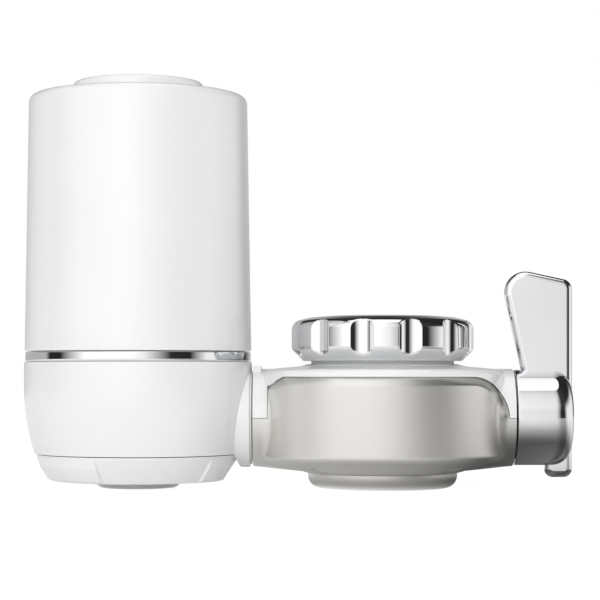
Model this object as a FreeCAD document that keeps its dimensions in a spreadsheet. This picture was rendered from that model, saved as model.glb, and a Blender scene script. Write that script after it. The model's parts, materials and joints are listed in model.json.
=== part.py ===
import FreeCAD, Part
import os
import re

import Sketcher

Vector = FreeCAD.Vector

# Faucet mount water filter. Millimetres, +Z up. The origin lies on the tap's axis, on the washer
# that the tap's end seats on. The filter housing is at -X and the lever at +X. Each body is drawn
# with its heights measured from the plane that both water outlets stand on, and then lowered.
SIZES = {
    # layout
    "axis_spacing": "=arm_reach + gap + collar_reach",
    "valve_height": 21.5,
    "gap": 0.3,
    "running_gap": 0.05,
    "seal_gap": 0.1,
    # bowl of the filter base
    "bowl_radius": 35.0,
    "bowl_shoulder": 30.0,
    "bowl_top": 38.7,
    "bowl_foot": 10.6,
    "bowl_taper": 3.1,
    "bowl_foot_radius": "=bowl_radius - bowl_taper",
    "bowl_wall": 2.6,
    "bowl_floor": 2.8,
    "collar_rim": 0.3,
    "collar_radius": "=arm_radius + collar_rim",
    "collar_lip": 0.2,
    "collar_reach": "=bowl_radius + collar_lip",
    "collar_chamfer": 0.8,
    "collar_inset": 0.5,
    "collar_start": "=bowl_foot_radius - bowl_wall + collar_inset",
    "neck_step": 2.7,
    "neck_radius": "=bowl_radius - neck_step",
    "neck_wall": 2.2,
    "neck_height": 11.5,
    "neck_top": "=bowl_top + neck_height",
    "cover_seal_drop": 3.2,
    "cover_seal_height": "=neck_top - cover_seal_drop",
    "cover_seal_section": 0.8,
    # socket that takes the cartridge's spigot
    "socket_radius": 6.8,
    "socket_wall": 2.4,
    "socket_top": 19.0,
    "socket_shoulder": 7.6,
    "socket_foot": 4.5,
    "socket_foot_radius": 7.4,
    "socket_port_radius": 4.0,
    # lower cap of the housing
    "cap_inset": 0.6,
    "cap_rim_radius": "=bowl_foot_radius - cap_inset",
    "cap_side_slope": 1.1,
    "cap_middle_radius": "=cap_rim_radius - cap_side_slope",
    "cap_middle": 6.6,
    "cap_foot_slope": 2.8,
    "cap_floor_radius": "=cap_middle_radius - cap_foot_slope",
    "cap_floor": 2.3,
    "cap_wall": 1.8,
    "cap_corner": 1.0,
    "panel_edge": 0.8,
    "panel_top": "=bowl_foot - panel_edge",
    "panel_depth": 2.1,
    "panel_middle_angle": 14.5,
    "panel_half_top": 34.5,
    "panel_half_inner": 28.0,
    "panel_half_outer": 36.5,
    "panel_count": 3,
    "panel_overcut": 3.0,
    # nozzle under the housing
    "nozzle_radius": 13.0,
    "nozzle_flat": 2.2,
    "nozzle_round": 2.0,
    "nozzle_wall": 1.3,
    "nozzle_top": 8.6,
    "nozzle_mouth_radius": 5.4,
    "nozzle_ledge": 1.6,
    "insert_thickness": 2.6,
    "flow_hole_radius": 0.75,
    "flow_ring_radius": 3.6,
    "flow_hole_count": 8,
    # chrome band
    "trim_inset": 0.4,
    "trim_radius": "=bowl_radius - trim_inset",
    "trim_height": 3.0,
    "trim_chamfer": 0.35,
    # cover
    "cover_inset": 0.2,
    "cover_foot_radius": "=bowl_radius - cover_inset",
    "cover_taper": 1.3,
    "cover_top_radius": "=cover_foot_radius - cover_taper",
    "cover_top": 120.4,
    "cover_wall": 2.5,
    "cover_roof": 2.6,
    "cover_round": 2.3,
    "cover_skirt_gap": 0.3,
    "cover_step_gap": 1.0,
    "cover_skirt": "=neck_height - trim_height - cover_seat_gap + cover_step_gap",
    "cover_seat_gap": 0.2,
    "disc_radius": 20.0,
    "disc_height": 4.2,
    "disc_round": 1.2,
    "boss_radius": 8.6,
    "boss_wall": 2.0,
    "boss_gap": 4.1,
    "boss_foot": "=media_top + cap_plate + boss_gap",
    # cartridge
    "spigot_radius": 6.5,
    "spigot_bore_radius": 4.0,
    "spigot_foot": 8.6,
    "spigot_ring_section": 0.75,
    "spigot_ring_low": 11.0,
    "spigot_ring_pitch": 4.0,
    "cap_plate": 3.0,
    "cap_lip": 4.0,
    "cap_lip_wall": 0.9,
    "cartridge_gap": 2.8,
    "cartridge_radius": "=cover_top_radius - cover_wall - cartridge_gap",
    "media_headroom": 13.9,
    "media_top": "=cover_top - media_headroom",
    "media_bore_radius": 7.2,
    "core_radius": 6.9,
    "core_wall": 1.3,
    "core_slot_width": 3.0,
    "core_slot_length": 14.0,
    "core_slot_pitch": "=(media_top - socket_top - cap_plate) / core_slot_count",
    "core_slot_count": 4,
    "wrap_thickness": 0.5,
    "stub_gap": 0.4,
    "stub_radius": "=boss_radius - boss_wall - stub_gap",
    "stub_overlap": 2.0,
    "stub_top": "=boss_foot + stub_overlap",
    # diverter case
    "drum_radius": 37.5,
    "drum_top": 34.0,
    "drum_foot": 8.9,
    "drum_wall": 2.2,
    "drum_foot_round": 2.4,
    "outlet_floor": 4.8,
    "outlet_share": 0.64,
    "outlet_floor_radius": "=drum_radius * outlet_share",
    "arm_radius": 15.0,
    "arm_stub": 2.3,
    "arm_reach": "=drum_radius + arm_stub",
    "arm_wall": 1.8,
    "arm_end_wall": 1.2,
    "face_left_inset": 2.3,
    "face_left": "=drum_radius - face_left_inset",
    "face_left_drop": 2.8,
    "face_left_top": "=drum_top - face_left_drop",
    "face_left_chamfer": 4.8,
    "face_left_run": "=face_left - face_left_chamfer",
    "face_bevel": 0.8,
    "face_bevel_width": 2.4,
    "face_arc_lip": 0.1,
    "face_arc_reach": "=drum_radius + face_arc_lip",
    "case_seam": 0.15,
    "dome_edge_rise": 2.4,
    "dome_edge": "=drum_top + dome_edge_rise",
    "dome_land": 0.8,
    "dome_slope": 3.0,
    "dome_slope_rise": 0.9,
    "dome_slope_foot": "=dome_edge + dome_slope_rise",
    "dome_rise": 1.6,
    "dome_top": "=dome_edge + dome_rise",
    "dome_wall": 2.4,
    "dome_round": 2.2,
    "tab_length": 2.4,
    "tab_half_width": 6.0,
    "tab_rise": 0.9,
    "screw_share": 0.7467,
    "screw_circle": "=drum_radius * screw_share",
    "screw_count": 4,
    "screw_boss_radius": 3.6,
    "screw_boss_foot": 12.0,
    "screw_seat": 9.6,
    # valve body
    "barrel_radius": 12.6,
    "barrel_bore_radius": 9.6,
    "barrel_flange_gap": 2.6,
    "barrel_left": "=connector_flange_left - connector_flange - barrel_flange_gap",
    "retainer_gap": 1.0,
    "barrel_right": "=arm_reach - arm_end_wall - retainer_thickness - retainer_gap",
    "column_radius": 15.5,
    "neck_share": 0.5867,
    "thread_neck_radius": "=drum_radius * neck_share",
    "neck_flange_gap": 0.4,
    "neck_flange_radius": "=screw_circle - screw_boss_radius - neck_flange_gap",
    "neck_flange_foot": "=dome_top - dome_wall - neck_flange - neck_flange_gap",
    "neck_flange": 2.0,
    "neck_rise": 6.5,
    "thread_neck_top": "=dome_top + neck_rise",
    "neck_bore_gap": 0.4,
    "thread_neck_bore": "=adapter_radius + neck_bore_gap",
    "neck_depth": 5.0,
    "thread_neck_floor": "=thread_neck_top - neck_depth",
    "inlet_port_radius": 6.0,
    "outlet_column_radius": 14.7,
    "outlet_column_foot": 6.2,
    "stream_port_radius": 4.5,
    "chamber_top": 9.6,
    "chamber_inner_radius": 9.9,
    "spray_port_radius": 1.5,
    # valve core and its retainer
    "core_left": 18.0,
    "core_end_gap": 0.2,
    "core_right": "=barrel_right - core_end_gap",
    "core_bore_radius": 5.2,
    "core_bore_end": 5.0,
    "core_port_radius": 4.6,
    "core_groove_width": 8.0,
    "core_groove_depth": 2.6,
    "core_ring_section": 0.9,
    "core_ring_left": -14.0,
    "core_ring_pitch": 27.0,
    "core_ring_inset": 4.4,
    "core_ring_right": "=core_right - core_ring_inset",
    "spindle_radius": 5.0,
    "spindle_flat": 3.8,
    "flat_inset": 0.4,
    "spindle_flat_start": "=hub_left - flat_inset",
    "screw_web": 3.0,
    "spindle_end": "=screw_well_floor - screw_web",
    "retainer_thickness": 2.0,
    # connector between housing and diverter
    "connector_radius": 9.4,
    "connector_bore_radius": 6.6,
    "connector_stub": 6.4,
    "connector_left": "=arm_reach + connector_stub",
    "connector_gap": 3.0,
    "connector_right": "=core_left + connector_gap",
    "connector_flange_radius": 12.9,
    "connector_flange": 2.0,
    "connector_flange_gap": 1.0,
    "connector_flange_left": "=arm_reach - arm_end_wall - connector_flange_gap",
    "connector_ring_inset": 2.6,
    "connector_ring_left": "=-arm_reach - connector_ring_inset",
    "connector_ring_right": -26.0,
    "connector_ring_section": 0.9,
    # lever
    "hub_radius": 14.7,
    "hub_gap": 0.6,
    "hub_left": "=arm_reach + hub_gap",
    "hub_length": 13.1,
    "hub_right": "=hub_left + hub_length",
    "hub_dome": 5.5,
    "hub_end": "=hub_right + hub_dome",
    "hub_end_radius": 8.5,
    "hub_shoulder_run": 3.8,
    "hub_shoulder": "=hub_right + hub_shoulder_run",
    "hub_shoulder_radius": 12.1,
    "screw_well_radius": 5.2,
    "screw_well_sink": 1.5,
    "screw_well_floor": "=hub_right - screw_well_sink",
    "blade_thickness": 4.6,
    "blade_foot": 10.0,
    "blade_foot_inset": 3.2,
    "blade_left_foot": "=hub_left + blade_foot_inset",
    "blade_lean": 4.8,
    "blade_left_head": "=hub_left - blade_lean",
    "blade_right_inset": 0.6,
    "blade_right": "=hub_end - blade_right_inset",
    "blade_head_left": 47.0,
    "blade_head_right": 42.1,
    "blade_round_left": 6.5,
    "blade_round_right": 3.2,
    "blade_round": 1.5,
    "tail_inset": 3.6,
    "tail_left": "=hub_right - tail_inset",
    "tail_foot": 18.4,
    "tail_round": 2.6,
    "plug_thickness": 2.0,
    # tap nut and what it clamps
    "nut_wall": 5.4,
    "nut_floor_radius": "=thread_neck_radius + nut_wall",
    "nut_rim_lip": 0.6,
    "nut_rim_radius": "=nut_floor_radius + nut_rim_lip",
    "nut_foot_slope": 2.9,
    "nut_foot_radius": "=nut_floor_radius - nut_foot_slope",
    "nut_foot_gap": 0.9,
    "nut_foot": "=dome_top + nut_foot_gap",
    "nut_foot_height": 3.3,
    "nut_floor_foot": "=nut_foot + nut_foot_height",
    "nut_rim_height": 3.5,
    "nut_rim_foot": "=nut_top - nut_rim_height",
    "nut_rise": 8.1,
    "nut_top": "=thread_neck_top + nut_rise",
    "nut_lip": 2.6,
    "nut_hole_gap": 0.4,
    "nut_hole_radius": "=adapter_radius + nut_hole_gap",
    "nut_round": 3.3,
    "nut_top_chamfer": 0.8,
    "rib_radius": 3.7,
    "rib_sink": 1.9,
    "rib_circle": "=nut_floor_radius - rib_sink",
    "rib_low_rise": 4.8,
    "rib_low": "=nut_foot + rib_low_rise",
    "rib_high_drop": 5.1,
    "rib_high": "=nut_top - rib_high_drop",
    "rib_count": 12,
    "adapter_radius": 14.0,
    "adapter_thread_radius": 11.45,
    "relief_depth": 0.45,
    "adapter_relief_radius": "=adapter_thread_radius + relief_depth",
    "adapter_sink": 0.3,
    "adapter_top": "=nut_top - adapter_sink",
    "adapter_foot_gap": 0.7,
    "adapter_foot": "=thread_neck_floor + adapter_foot_gap",
    "adapter_ledge": 1.4,
    "adapter_ledge_radius": 8.6,
    "adapter_flange_inset": 2.0,
    "adapter_flange_radius": "=thread_neck_radius - adapter_flange_inset",
    "gasket_thickness": 2.0,
    "washer_thickness": 2.0,
    "washer_overlap": 0.25,
    "washer_radius": "=adapter_thread_radius + washer_overlap",
    "washer_bore_radius": 7.6,
    "screen_thickness": 0.5,
    "screen_hole_radius": 0.9,
    "screen_ring_radius": 4.6,
    "screen_hole_count": 10,
    # outlet under the diverter
    "ring_inset": 1.0,
    "ring_radius": "=outlet_floor_radius - ring_inset",
    "ring_round": 3.8,
    "ring_bore_radius": 14.9,
    "ring_sleeve_radius": 16.6,
    "ring_sleeve_top": "=valve_height - barrel_radius - gap",
    "ring_mouth_radius": 13.4,
    "ring_ledge": 1.0,
    "spray_thickness": 2.4,
    "spray_hole_radius": 0.7,
    "spray_circle": 11.3,
    "spray_hole_count": 20,
    "aerator_radius": 8.4,
    "aerator_hole_radius": 0.8,
    "aerator_ring_radius": 5.4,
    "aerator_hole_count": 12,
    "aerator_ledge": 0.6,
    "aerator_mouth_radius": 7.4,
    "aerator_cup_wall": 1.2,
    "aerator_height": 3.4,
    "seal_radius": 14.6,
    "seal_bore_radius": 13.0,
    # fasteners
    "case_screw_radius": 1.5,
    "case_screw_length": 14.0,
    "screw_head_radius": 2.8,
    "screw_head_height": 1.8,
    "small_screw_radius": 1.0,
    "small_screw_length": 5.0,
    "small_head_radius": 1.55,
    "small_head_height": 1.0,
    "lever_screw_radius": 1.75,
    "lever_screw_length": 9.0,
    "lever_head_radius": 3.6,
    "lever_head_height": 2.2,
}

doc = FreeCAD.newDocument("FaucetMountWaterFilter")
sheet = doc.addObject("Spreadsheet::Sheet", "Sizes")
for row, alias in enumerate(SIZES, start=1):
    sheet.set(f"A{row}", alias)
    sheet.setAlias(f"B{row}", alias)
for row, value in enumerate(SIZES.values(), start=1):
    sheet.set(f"B{row}", str(value))
doc.recompute()

parts = []
TAP_SEAT = "adapter_foot + adapter_ledge + screen_thickness + washer_thickness"


def number(formula):
    """The value of a formula of sheet aliases."""
    return float(sheet.evalExpression(formula))


def linked(formula):
    """The formula with the sheet's name before each alias, as an object's expression needs it."""
    def with_sheet(match):
        word = match.group(0)
        return "Sizes." + word if word in SIZES else word
    return re.sub(r"[A-Za-z_]\w*", with_sheet, formula)


def new_body(label, x="0", z="0"):
    """An empty body whose own origin is at x and at the height z above the outlets."""
    body = doc.addObject("PartDesign::Body", label)
    body.Label = label
    body.setExpression("Placement.Base.x", linked(x))
    body.setExpression("Placement.Base.z", linked(f"{z} - ({TAP_SEAT})"))
    parts.append(body)
    return body


def origin_feature(body, role):
    """One of the body's own origin planes or axes."""
    return next(feature for feature in body.Origin.OriginFeatures if feature.Role == role)


def new_sketch(body, name, role="XZ_Plane", height="0"):
    """A sketch on one of the body's origin planes, moved along the plane's normal by height."""
    sketch = body.newObject("Sketcher::SketchObject", name)
    sketch.AttachmentSupport = (origin_feature(body, role), [""])
    sketch.MapMode = "FlatFace"
    sketch.setExpression("AttachmentOffset.Base.z", linked(height))
    return sketch


def tie(sketch, geometry, position, x, y):
    """Bind a point of the sketch to the formulas x and y."""
    for kind, formula in (("DistanceX", x), ("DistanceY", y)):
        index = sketch.addConstraint(
            Sketcher.Constraint(kind, -1, 1, geometry, position, number(formula)))
        sketch.setExpression(f"Constraints[{index}]", linked(formula))


def draw_outline(sketch, points):
    """A closed outline. A point is (x, y), or (x, y, arc_x, arc_y) where an arc through
    (arc_x, arc_y) leads from it to the next point."""
    count = len(points)
    spots = [Vector(number(point[0]), number(point[1]), 0) for point in points]
    ends = []
    for index, point in enumerate(points):
        start, end = spots[index], spots[(index + 1) % count]
        if len(point) == 2:
            sketch.addGeometry(Part.LineSegment(start, end), False)
            ends.append((index, 1, 2))
            continue
        middle = Vector(number(point[2]), number(point[3]), 0)
        sketch.addGeometry(Part.Arc(start, middle, end), False)
        forward = sketch.getPoint(index, 1).distanceToPoint(start) < 0.001
        ends.append((index, 1, 2) if forward else (index, 2, 1))
    for index in range(count):
        geometry, _, last = ends[index]
        following, first, _ = ends[(index + 1) % count]
        sketch.addConstraint(Sketcher.Constraint("Coincident", geometry, last, following, first))
    for index, point in enumerate(points):
        geometry, first, _ = ends[index]
        tie(sketch, geometry, first, point[0], point[1])
    for index, point in enumerate(points):
        if len(point) == 4:
            middle = Vector(number(point[2]), number(point[3]), 0)
            dot = sketch.addGeometry(Part.Point(middle), True)
            tie(sketch, dot, 1, point[2], point[3])
            sketch.addConstraint(Sketcher.Constraint("PointOnObject", dot, 1, index))


def draw_circle(sketch, x, y, radius):
    """A circle with its centre and radius bound to formulas."""
    centre = Vector(number(x), number(y), 0)
    geometry = sketch.addGeometry(Part.Circle(centre, Vector(0, 0, 1), number(radius)), False)
    tie(sketch, geometry, 3, x, y)
    index = sketch.addConstraint(Sketcher.Constraint("Radius", geometry, number(radius)))
    sketch.setExpression(f"Constraints[{index}]", linked(radius))


def turn(body, name, points, axis="V_Axis", cut=False, lift="0"):
    """Revolve a closed outline about the body's Z axis, or with H_Axis about a line along X at lift."""
    # about Z the outline lies in the YZ plane, so that no seam runs through the arms along X
    sketch = new_sketch(body, name + "Sketch", "YZ_Plane" if axis == "V_Axis" else "XZ_Plane")
    sketch.setExpression("AttachmentOffset.Base.y", linked(lift))
    draw_outline(sketch, points)
    kind = "PartDesign::Groove" if cut else "PartDesign::Revolution"
    feature = body.newObject(kind, name)
    feature.Profile = (sketch, [""])
    feature.ReferenceAxis = (sketch, [axis])
    feature.Angle = 360
    return feature


def extrude(body, name, sketch, length, reverse=False, both=False, cut=False):
    """Pad or pocket a sketch by length: along its normal, against it, or half each way."""
    feature = body.newObject("PartDesign::Pocket" if cut else "PartDesign::Pad", name)
    feature.Profile = (sketch, [""])
    feature.setExpression("Length", linked(length))
    feature.Midplane = both
    # a pocket runs against the sketch's normal unless it is reversed
    feature.Reversed = (not reverse) if cut else reverse
    return feature


def drill(body, name, role, x, y, radius, start, length, both=False):
    """A round hole from the plane at start, along the plane's normal for length."""
    sketch = new_sketch(body, name + "Sketch", role, start)
    draw_circle(sketch, x, y, radius)
    return extrude(body, name, sketch, length, both=both, cut=True)


def ring_pattern(body, name, feature, count, axis="Z_Axis", angle=360):
    """Repeat one feature round the body's axis."""
    pattern = body.newObject("PartDesign::PolarPattern", name)
    pattern.Originals = [feature]
    pattern.Axis = (origin_feature(body, axis), [""])
    pattern.Angle = angle
    pattern.setExpression("Occurrences", linked(count))
    body.Tip = pattern
    return pattern


def ring_edges(shape, radius, height, axis="Z"):
    """Names of the full or part circles of this radius, at this height on the body's axis."""
    names = []
    for index, edge in enumerate(shape.Edges, start=1):
        curve = edge.Curve
        if not isinstance(curve, Part.Circle):
            continue
        place = curve.Center.z if axis == "Z" else curve.Center.x
        if abs(curve.Radius - number(radius)) < 0.01 and abs(place - number(height)) < 0.01:
            names.append(f"Edge{index}")
    return names


def dress(body, name, kind, size, edges):
    """Fillet or chamfer the named edges of the body's last feature."""
    base = body.Tip
    feature = body.newObject("PartDesign::" + kind, name)
    feature.Base = (base, edges)
    feature.setExpression("Radius" if kind == "Fillet" else "Size", linked(size))
    body.Tip = feature
    return feature


def ring_dress(body, name, kind, size, radius, height, axis="Z"):
    """Fillet or chamfer the circular edges found by radius and height."""
    doc.recompute()
    edges = ring_edges(body.Tip.Shape, radius, height, axis)
    return dress(body, name, kind, size, edges)


def filter_base():
    """White bowl with floor, screw neck, collar arm and the cartridge's socket."""
    body = new_body("filter_base", "-axis_spacing")
    turn(body, "Bowl", [
        ("0", "socket_foot"),
        ("socket_foot_radius", "socket_foot"),
        ("socket_foot_radius", "bowl_foot"),
        ("bowl_foot_radius", "bowl_foot",
         "bowl_radius - (bowl_radius - bowl_foot_radius) / 4", "(bowl_shoulder + bowl_foot) / 2"),
        ("bowl_radius", "bowl_shoulder"),
        ("bowl_radius", "bowl_top"),
        ("neck_radius", "bowl_top"),
        ("neck_radius", "neck_top"),
        ("0", "neck_top")])
    socket_side = "socket_radius + socket_wall"
    turn(body, "Hollow", [
        (socket_side, "bowl_foot + bowl_floor"),
        ("bowl_foot_radius - bowl_wall - 1", "bowl_foot + bowl_floor"),
        ("bowl_radius - bowl_wall", "bowl_shoulder"),
        ("neck_radius - neck_wall", "bowl_top - neck_wall"),
        ("neck_radius - neck_wall", "neck_top + 1"),
        ("0", "neck_top + 1"),
        ("0", "socket_top"),
        (socket_side, "socket_top")], cut=True)
    turn(body, "Collar", [
        ("collar_start", "0"),
        ("collar_start", "collar_radius"),
        ("collar_reach - collar_chamfer", "collar_radius"),
        ("collar_reach", "collar_radius - collar_chamfer"),
        ("collar_reach", "0")], "H_Axis", lift="valve_height")
    turn(body, "CapRoom", [
        ("socket_foot_radius + gap", "0"),
        ("cap_rim_radius + gap", "0"),
        ("cap_rim_radius + gap", "bowl_foot"),
        ("socket_foot_radius + gap", "bowl_foot")], cut=True)
    turn(body, "SocketBore", [
        ("0", "socket_foot - 1"),
        ("socket_port_radius", "socket_foot - 1"),
        ("socket_port_radius", "socket_shoulder"),
        ("socket_radius", "socket_shoulder"),
        ("socket_radius", "socket_top + 1"),
        ("0", "socket_top + 1")], cut=True)
    drill(body, "CollarBore", "YZ_Plane", "0", "valve_height", CONNECTOR_BORE,
          "collar_start - 1", "collar_reach")
    ring_groove(body, "SealGroove", COVER_SEAL_GROOVE, "neck_radius + 1",
                "cover_seal_height", "cover_seal_section")


def ring_groove(body, name, floor, mouth, place, section, axis="V_Axis"):
    """A groove for one O-ring, from just under the ring's inside out past the mouth."""
    bed = f"{floor} - running_gap"
    low = f"{place} - {section} - gap"
    high = f"{place} + {section} + gap"
    corners = [(bed, low), (mouth, low), (mouth, high), (bed, high)]
    if axis == "H_Axis":
        corners = [(place_along, radius) for radius, place_along in corners]
    turn(body, name, corners, axis, cut=True)


def base_bottom_cap():
    """White lower cap with recessed grip panels, held up by the nozzle's flange."""
    body = new_body("base_bottom_cap", "-axis_spacing")
    inset = "cap_wall - panel_depth"
    turn(body, "Cap", [
        (f"{NOZZLE_BODY} + gap", "cap_floor"),
        ("cap_floor_radius", "cap_floor"),
        ("cap_middle_radius", "cap_middle"),
        ("cap_rim_radius", "bowl_foot - cover_seat_gap"),
        (f"cap_rim_radius - {inset}", "bowl_foot - cover_seat_gap"),
        (f"cap_middle_radius - {inset}", "cap_middle"),
        (f"cap_floor_radius - {inset}", "cap_floor + cap_wall"),
        (f"{NOZZLE_BODY} + gap", "cap_floor + cap_wall")])
    ring_dress(body, "Corner", "Fillet", "cap_corner", "cap_floor_radius", "cap_floor")
    low = new_sketch(body, "PanelFloorSketch", "XY_Plane", "cap_floor - cap_corner")
    draw_panel(low, "cap_floor_radius - panel_depth", "panel_half_inner", "panel_half_outer")
    high = new_sketch(body, "PanelTopSketch", "XY_Plane", "panel_top")
    draw_panel(high, "cap_rim_radius - gap", "panel_half_top", "panel_half_top")
    panel = body.newObject("PartDesign::SubtractiveLoft", "Panel")
    panel.Profile = (low, [""])
    panel.Sections = [(high, [""])]
    panel.Ruled = True
    doc.recompute()
    ring_pattern(body, "Panels", panel, "panel_count", angle=180)


def draw_panel(sketch, radius, half_inner, half_outer):
    """The plan of one grip panel: an inner arc, an outer arc and two slanting ends."""
    def spot(distance, turned):
        angle = f"(panel_middle_angle {turned})"
        return f"({distance}) * sin({angle})", f"-({distance}) * cos({angle})"
    outer = "cap_rim_radius + panel_overcut"
    draw_outline(sketch, [
        spot(radius, f"- {half_inner}") + spot(radius, ""),
        spot(radius, f"+ {half_inner}"),
        spot(outer, f"+ {half_outer}") + spot(outer, ""),
        spot(outer, f"- {half_outer}")])


def rounded_foot(radius, size):
    """Two outline points: a quarter-round edge from the plane z = 0 up to the side."""
    return [
        (f"{radius} - {size}", "0",
         f"{radius} - {size} * (1 - sin(45))", f"{size} * (1 - cos(45))"),
        (radius, size)]


def outlet_nozzle():
    """White round nozzle under the housing, screwed over the socket's foot."""
    body = new_body("outlet_nozzle", "-axis_spacing")
    bore = "socket_foot_radius + running_gap"
    turn(body, "Nozzle", [("nozzle_mouth_radius", "0")] + rounded_foot("nozzle_radius", "nozzle_round") + [
        ("nozzle_radius", "nozzle_flat"),
        (NOZZLE_BODY, "nozzle_flat"),
        (NOZZLE_BODY, "nozzle_top"),
        (bore, "nozzle_top"),
        (bore, "nozzle_ledge"),
        ("nozzle_mouth_radius", "nozzle_ledge")])


def holed_disc(label, x, foot, thickness, radius, hole, rings):
    """A flat disc with a hole at its middle and rings of holes: (circle radius, count)."""
    body = new_body(label, x, foot)
    disc = new_sketch(body, "DiscSketch", "XY_Plane")
    draw_circle(disc, "0", "0", radius)
    extrude(body, "Disc", disc, thickness)
    drill(body, "Middle", "XY_Plane", "0", "0", hole, "-gap", f"{thickness} + 2 * gap")
    for index, (circle, count) in enumerate(rings, start=1):
        holes = drill(body, f"Hole{index}", "XY_Plane", circle, "0", hole,
                      "-gap", f"{thickness} + 2 * gap")
        doc.recompute()
        ring_pattern(body, f"Holes{index}", holes, count)


def trim_ring():
    """Chrome band that lies on the bowl's top, round the neck."""
    body = new_body("trim_ring", "-axis_spacing", "bowl_top")
    turn(body, "Ring", [
        ("neck_radius + seal_gap", "0"),
        ("trim_radius - trim_chamfer", "0"),
        ("trim_radius", "trim_chamfer"),
        ("trim_radius", "trim_height - trim_chamfer"),
        ("trim_radius - trim_chamfer", "trim_height"),
        ("neck_radius + seal_gap", "trim_height")])


def top_cover():
    """White tapered cover with a raised round disc on top and a ring that steadies the cartridge."""
    body = new_body("top_cover", "-axis_spacing")
    foot = "bowl_top + trim_height + cover_seat_gap"
    disc_top = "cover_top + disc_height"
    turn(body, "Cover", [
        ("neck_radius + cover_skirt_gap", foot),
        ("cover_foot_radius", foot),
        ("cover_top_radius", "cover_top"),
        ("disc_radius", "cover_top"),
        ("disc_radius", disc_top),
        ("0", disc_top),
        ("0", f"{disc_top} - cover_roof"),
        ("disc_radius - cover_wall", f"{disc_top} - cover_roof"),
        ("disc_radius - cover_wall", "cover_top - cover_roof"),
        ("cover_top_radius - cover_wall", "cover_top - cover_roof"),
        ("cover_foot_radius - cover_wall", f"{foot} + cover_skirt"),
        ("neck_radius + cover_skirt_gap", f"{foot} + cover_skirt")])
    turn(body, "Boss", [
        ("boss_radius - boss_wall", "boss_foot"),
        ("boss_radius", "boss_foot"),
        ("boss_radius", f"{disc_top} - cover_roof / 2"),
        ("boss_radius - boss_wall", f"{disc_top} - cover_roof / 2")])
    ring_dress(body, "TopRound", "Fillet", "cover_round", "cover_top_radius", "cover_top")
    ring_dress(body, "DiscRound", "Fillet", "disc_round", "disc_radius", disc_top)


def cartridge():
    """Filter cartridge: two end caps, carbon block, slotted core and a non-woven sleeve."""
    plate = "socket_top + cap_plate"
    lip_bore = "cartridge_radius - cap_lip_wall"
    wrap_radius = f"{lip_bore} - seal_gap"

    body = new_body("cartridge_bottom_cap", "-axis_spacing")
    turn(body, "Cap", [
        ("spigot_bore_radius", "spigot_foot"),
        ("spigot_radius", "spigot_foot"),
        ("spigot_radius", "socket_top"),
        ("cartridge_radius", "socket_top"),
        ("cartridge_radius", f"{plate} + cap_lip"),
        (lip_bore, f"{plate} + cap_lip"),
        (lip_bore, plate),
        ("spigot_bore_radius", plate)])
    for index, place in enumerate(SPIGOT_RINGS, start=1):
        ring_groove(body, f"RingGroove{index}", SPIGOT_GROOVE, "spigot_radius + 1", place,
                    "spigot_ring_section")

    body = new_body("cartridge_top_cap", "-axis_spacing")
    turn(body, "Cap", [
        ("0", "media_top"),
        (lip_bore, "media_top"),
        (lip_bore, "media_top - cap_lip"),
        ("cartridge_radius", "media_top - cap_lip"),
        ("cartridge_radius", "media_top + cap_plate"),
        ("stub_radius", "media_top + cap_plate"),
        ("stub_radius", "stub_top"),
        ("0", "stub_top")])
    ring_dress(body, "StubRound", "Fillet", "disc_round", "stub_radius", "stub_top")

    for label, inner, outer in (
            ("cartridge_media", "media_bore_radius", f"{wrap_radius} - wrap_thickness - running_gap"),
            ("cartridge_wrap", f"{wrap_radius} - wrap_thickness", wrap_radius),
            ("cartridge_core", "core_radius - core_wall", "core_radius")):
        body = new_body(label, "-axis_spacing")
        turn(body, "Tube", [
            (inner, plate), (outer, plate), (outer, "media_top"), (inner, "media_top")])
    for role in ("XZ_Plane", "YZ_Plane"):
        slots = new_sketch(body, "SlotSketch" + role[:2], role)
        for index in range(int(number("core_slot_count"))):
            low = f"{plate} + core_slot_pitch * {index} + (core_slot_pitch - core_slot_length) / 2"
            draw_box(slots, "-core_slot_width / 2", low, "core_slot_width", "core_slot_length")
        extrude(body, "Slots" + role[:2], slots, "4 * core_radius", both=True, cut=True)


def draw_box(sketch, x, y, width, height):
    """A rectangle from its lower left corner."""
    first = sketch.GeometryCount
    left, low = number(x), number(y)
    right, high = left + number(width), low + number(height)
    corners = [Vector(left, low, 0), Vector(right, low, 0), Vector(right, high, 0), Vector(left, high, 0)]
    for index in range(4):
        sketch.addGeometry(Part.LineSegment(corners[index], corners[(index + 1) % 4]), False)
    for index in range(4):
        sketch.addConstraint(Sketcher.Constraint(
            "Coincident", first + index, 2, first + (index + 1) % 4, 1))
    tie(sketch, first, 1, x, y)
    tie(sketch, first + 2, 1, f"{x} + {width}", f"{y} + {height}")
    sketch.addConstraint(Sketcher.Constraint("Horizontal", first))
    sketch.addConstraint(Sketcher.Constraint("Vertical", first + 3))


def ring_group(label, x, z, axis, spots):
    """O-rings as one part: each spot is (place on the axis, centre radius, section radius)."""
    origin = {"X": x, "Z": f"{z} - ({TAP_SEAT})"}
    rings = []
    for index, (place, radius, section) in enumerate(spots, start=1):
        ring = doc.addObject("Part::Torus", f"{label}_{index}")
        ring.setExpression("Radius1", linked(radius))
        ring.setExpression("Radius2", linked(section))
        if axis == "X":
            ring.Placement.Rotation = FreeCAD.Rotation(Vector(0, 1, 0), 90)
        for letter in "XZ":
            along = f" + {place}" if letter == axis else ""
            ring.setExpression("Placement.Base." + letter.lower(), linked(origin[letter] + along))
        rings.append(ring)
    group = rings[0]
    if len(rings) > 1:
        group = doc.addObject("Part::Compound", label)
        group.Links = rings
    group.Label = label
    parts.append(group)


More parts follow.
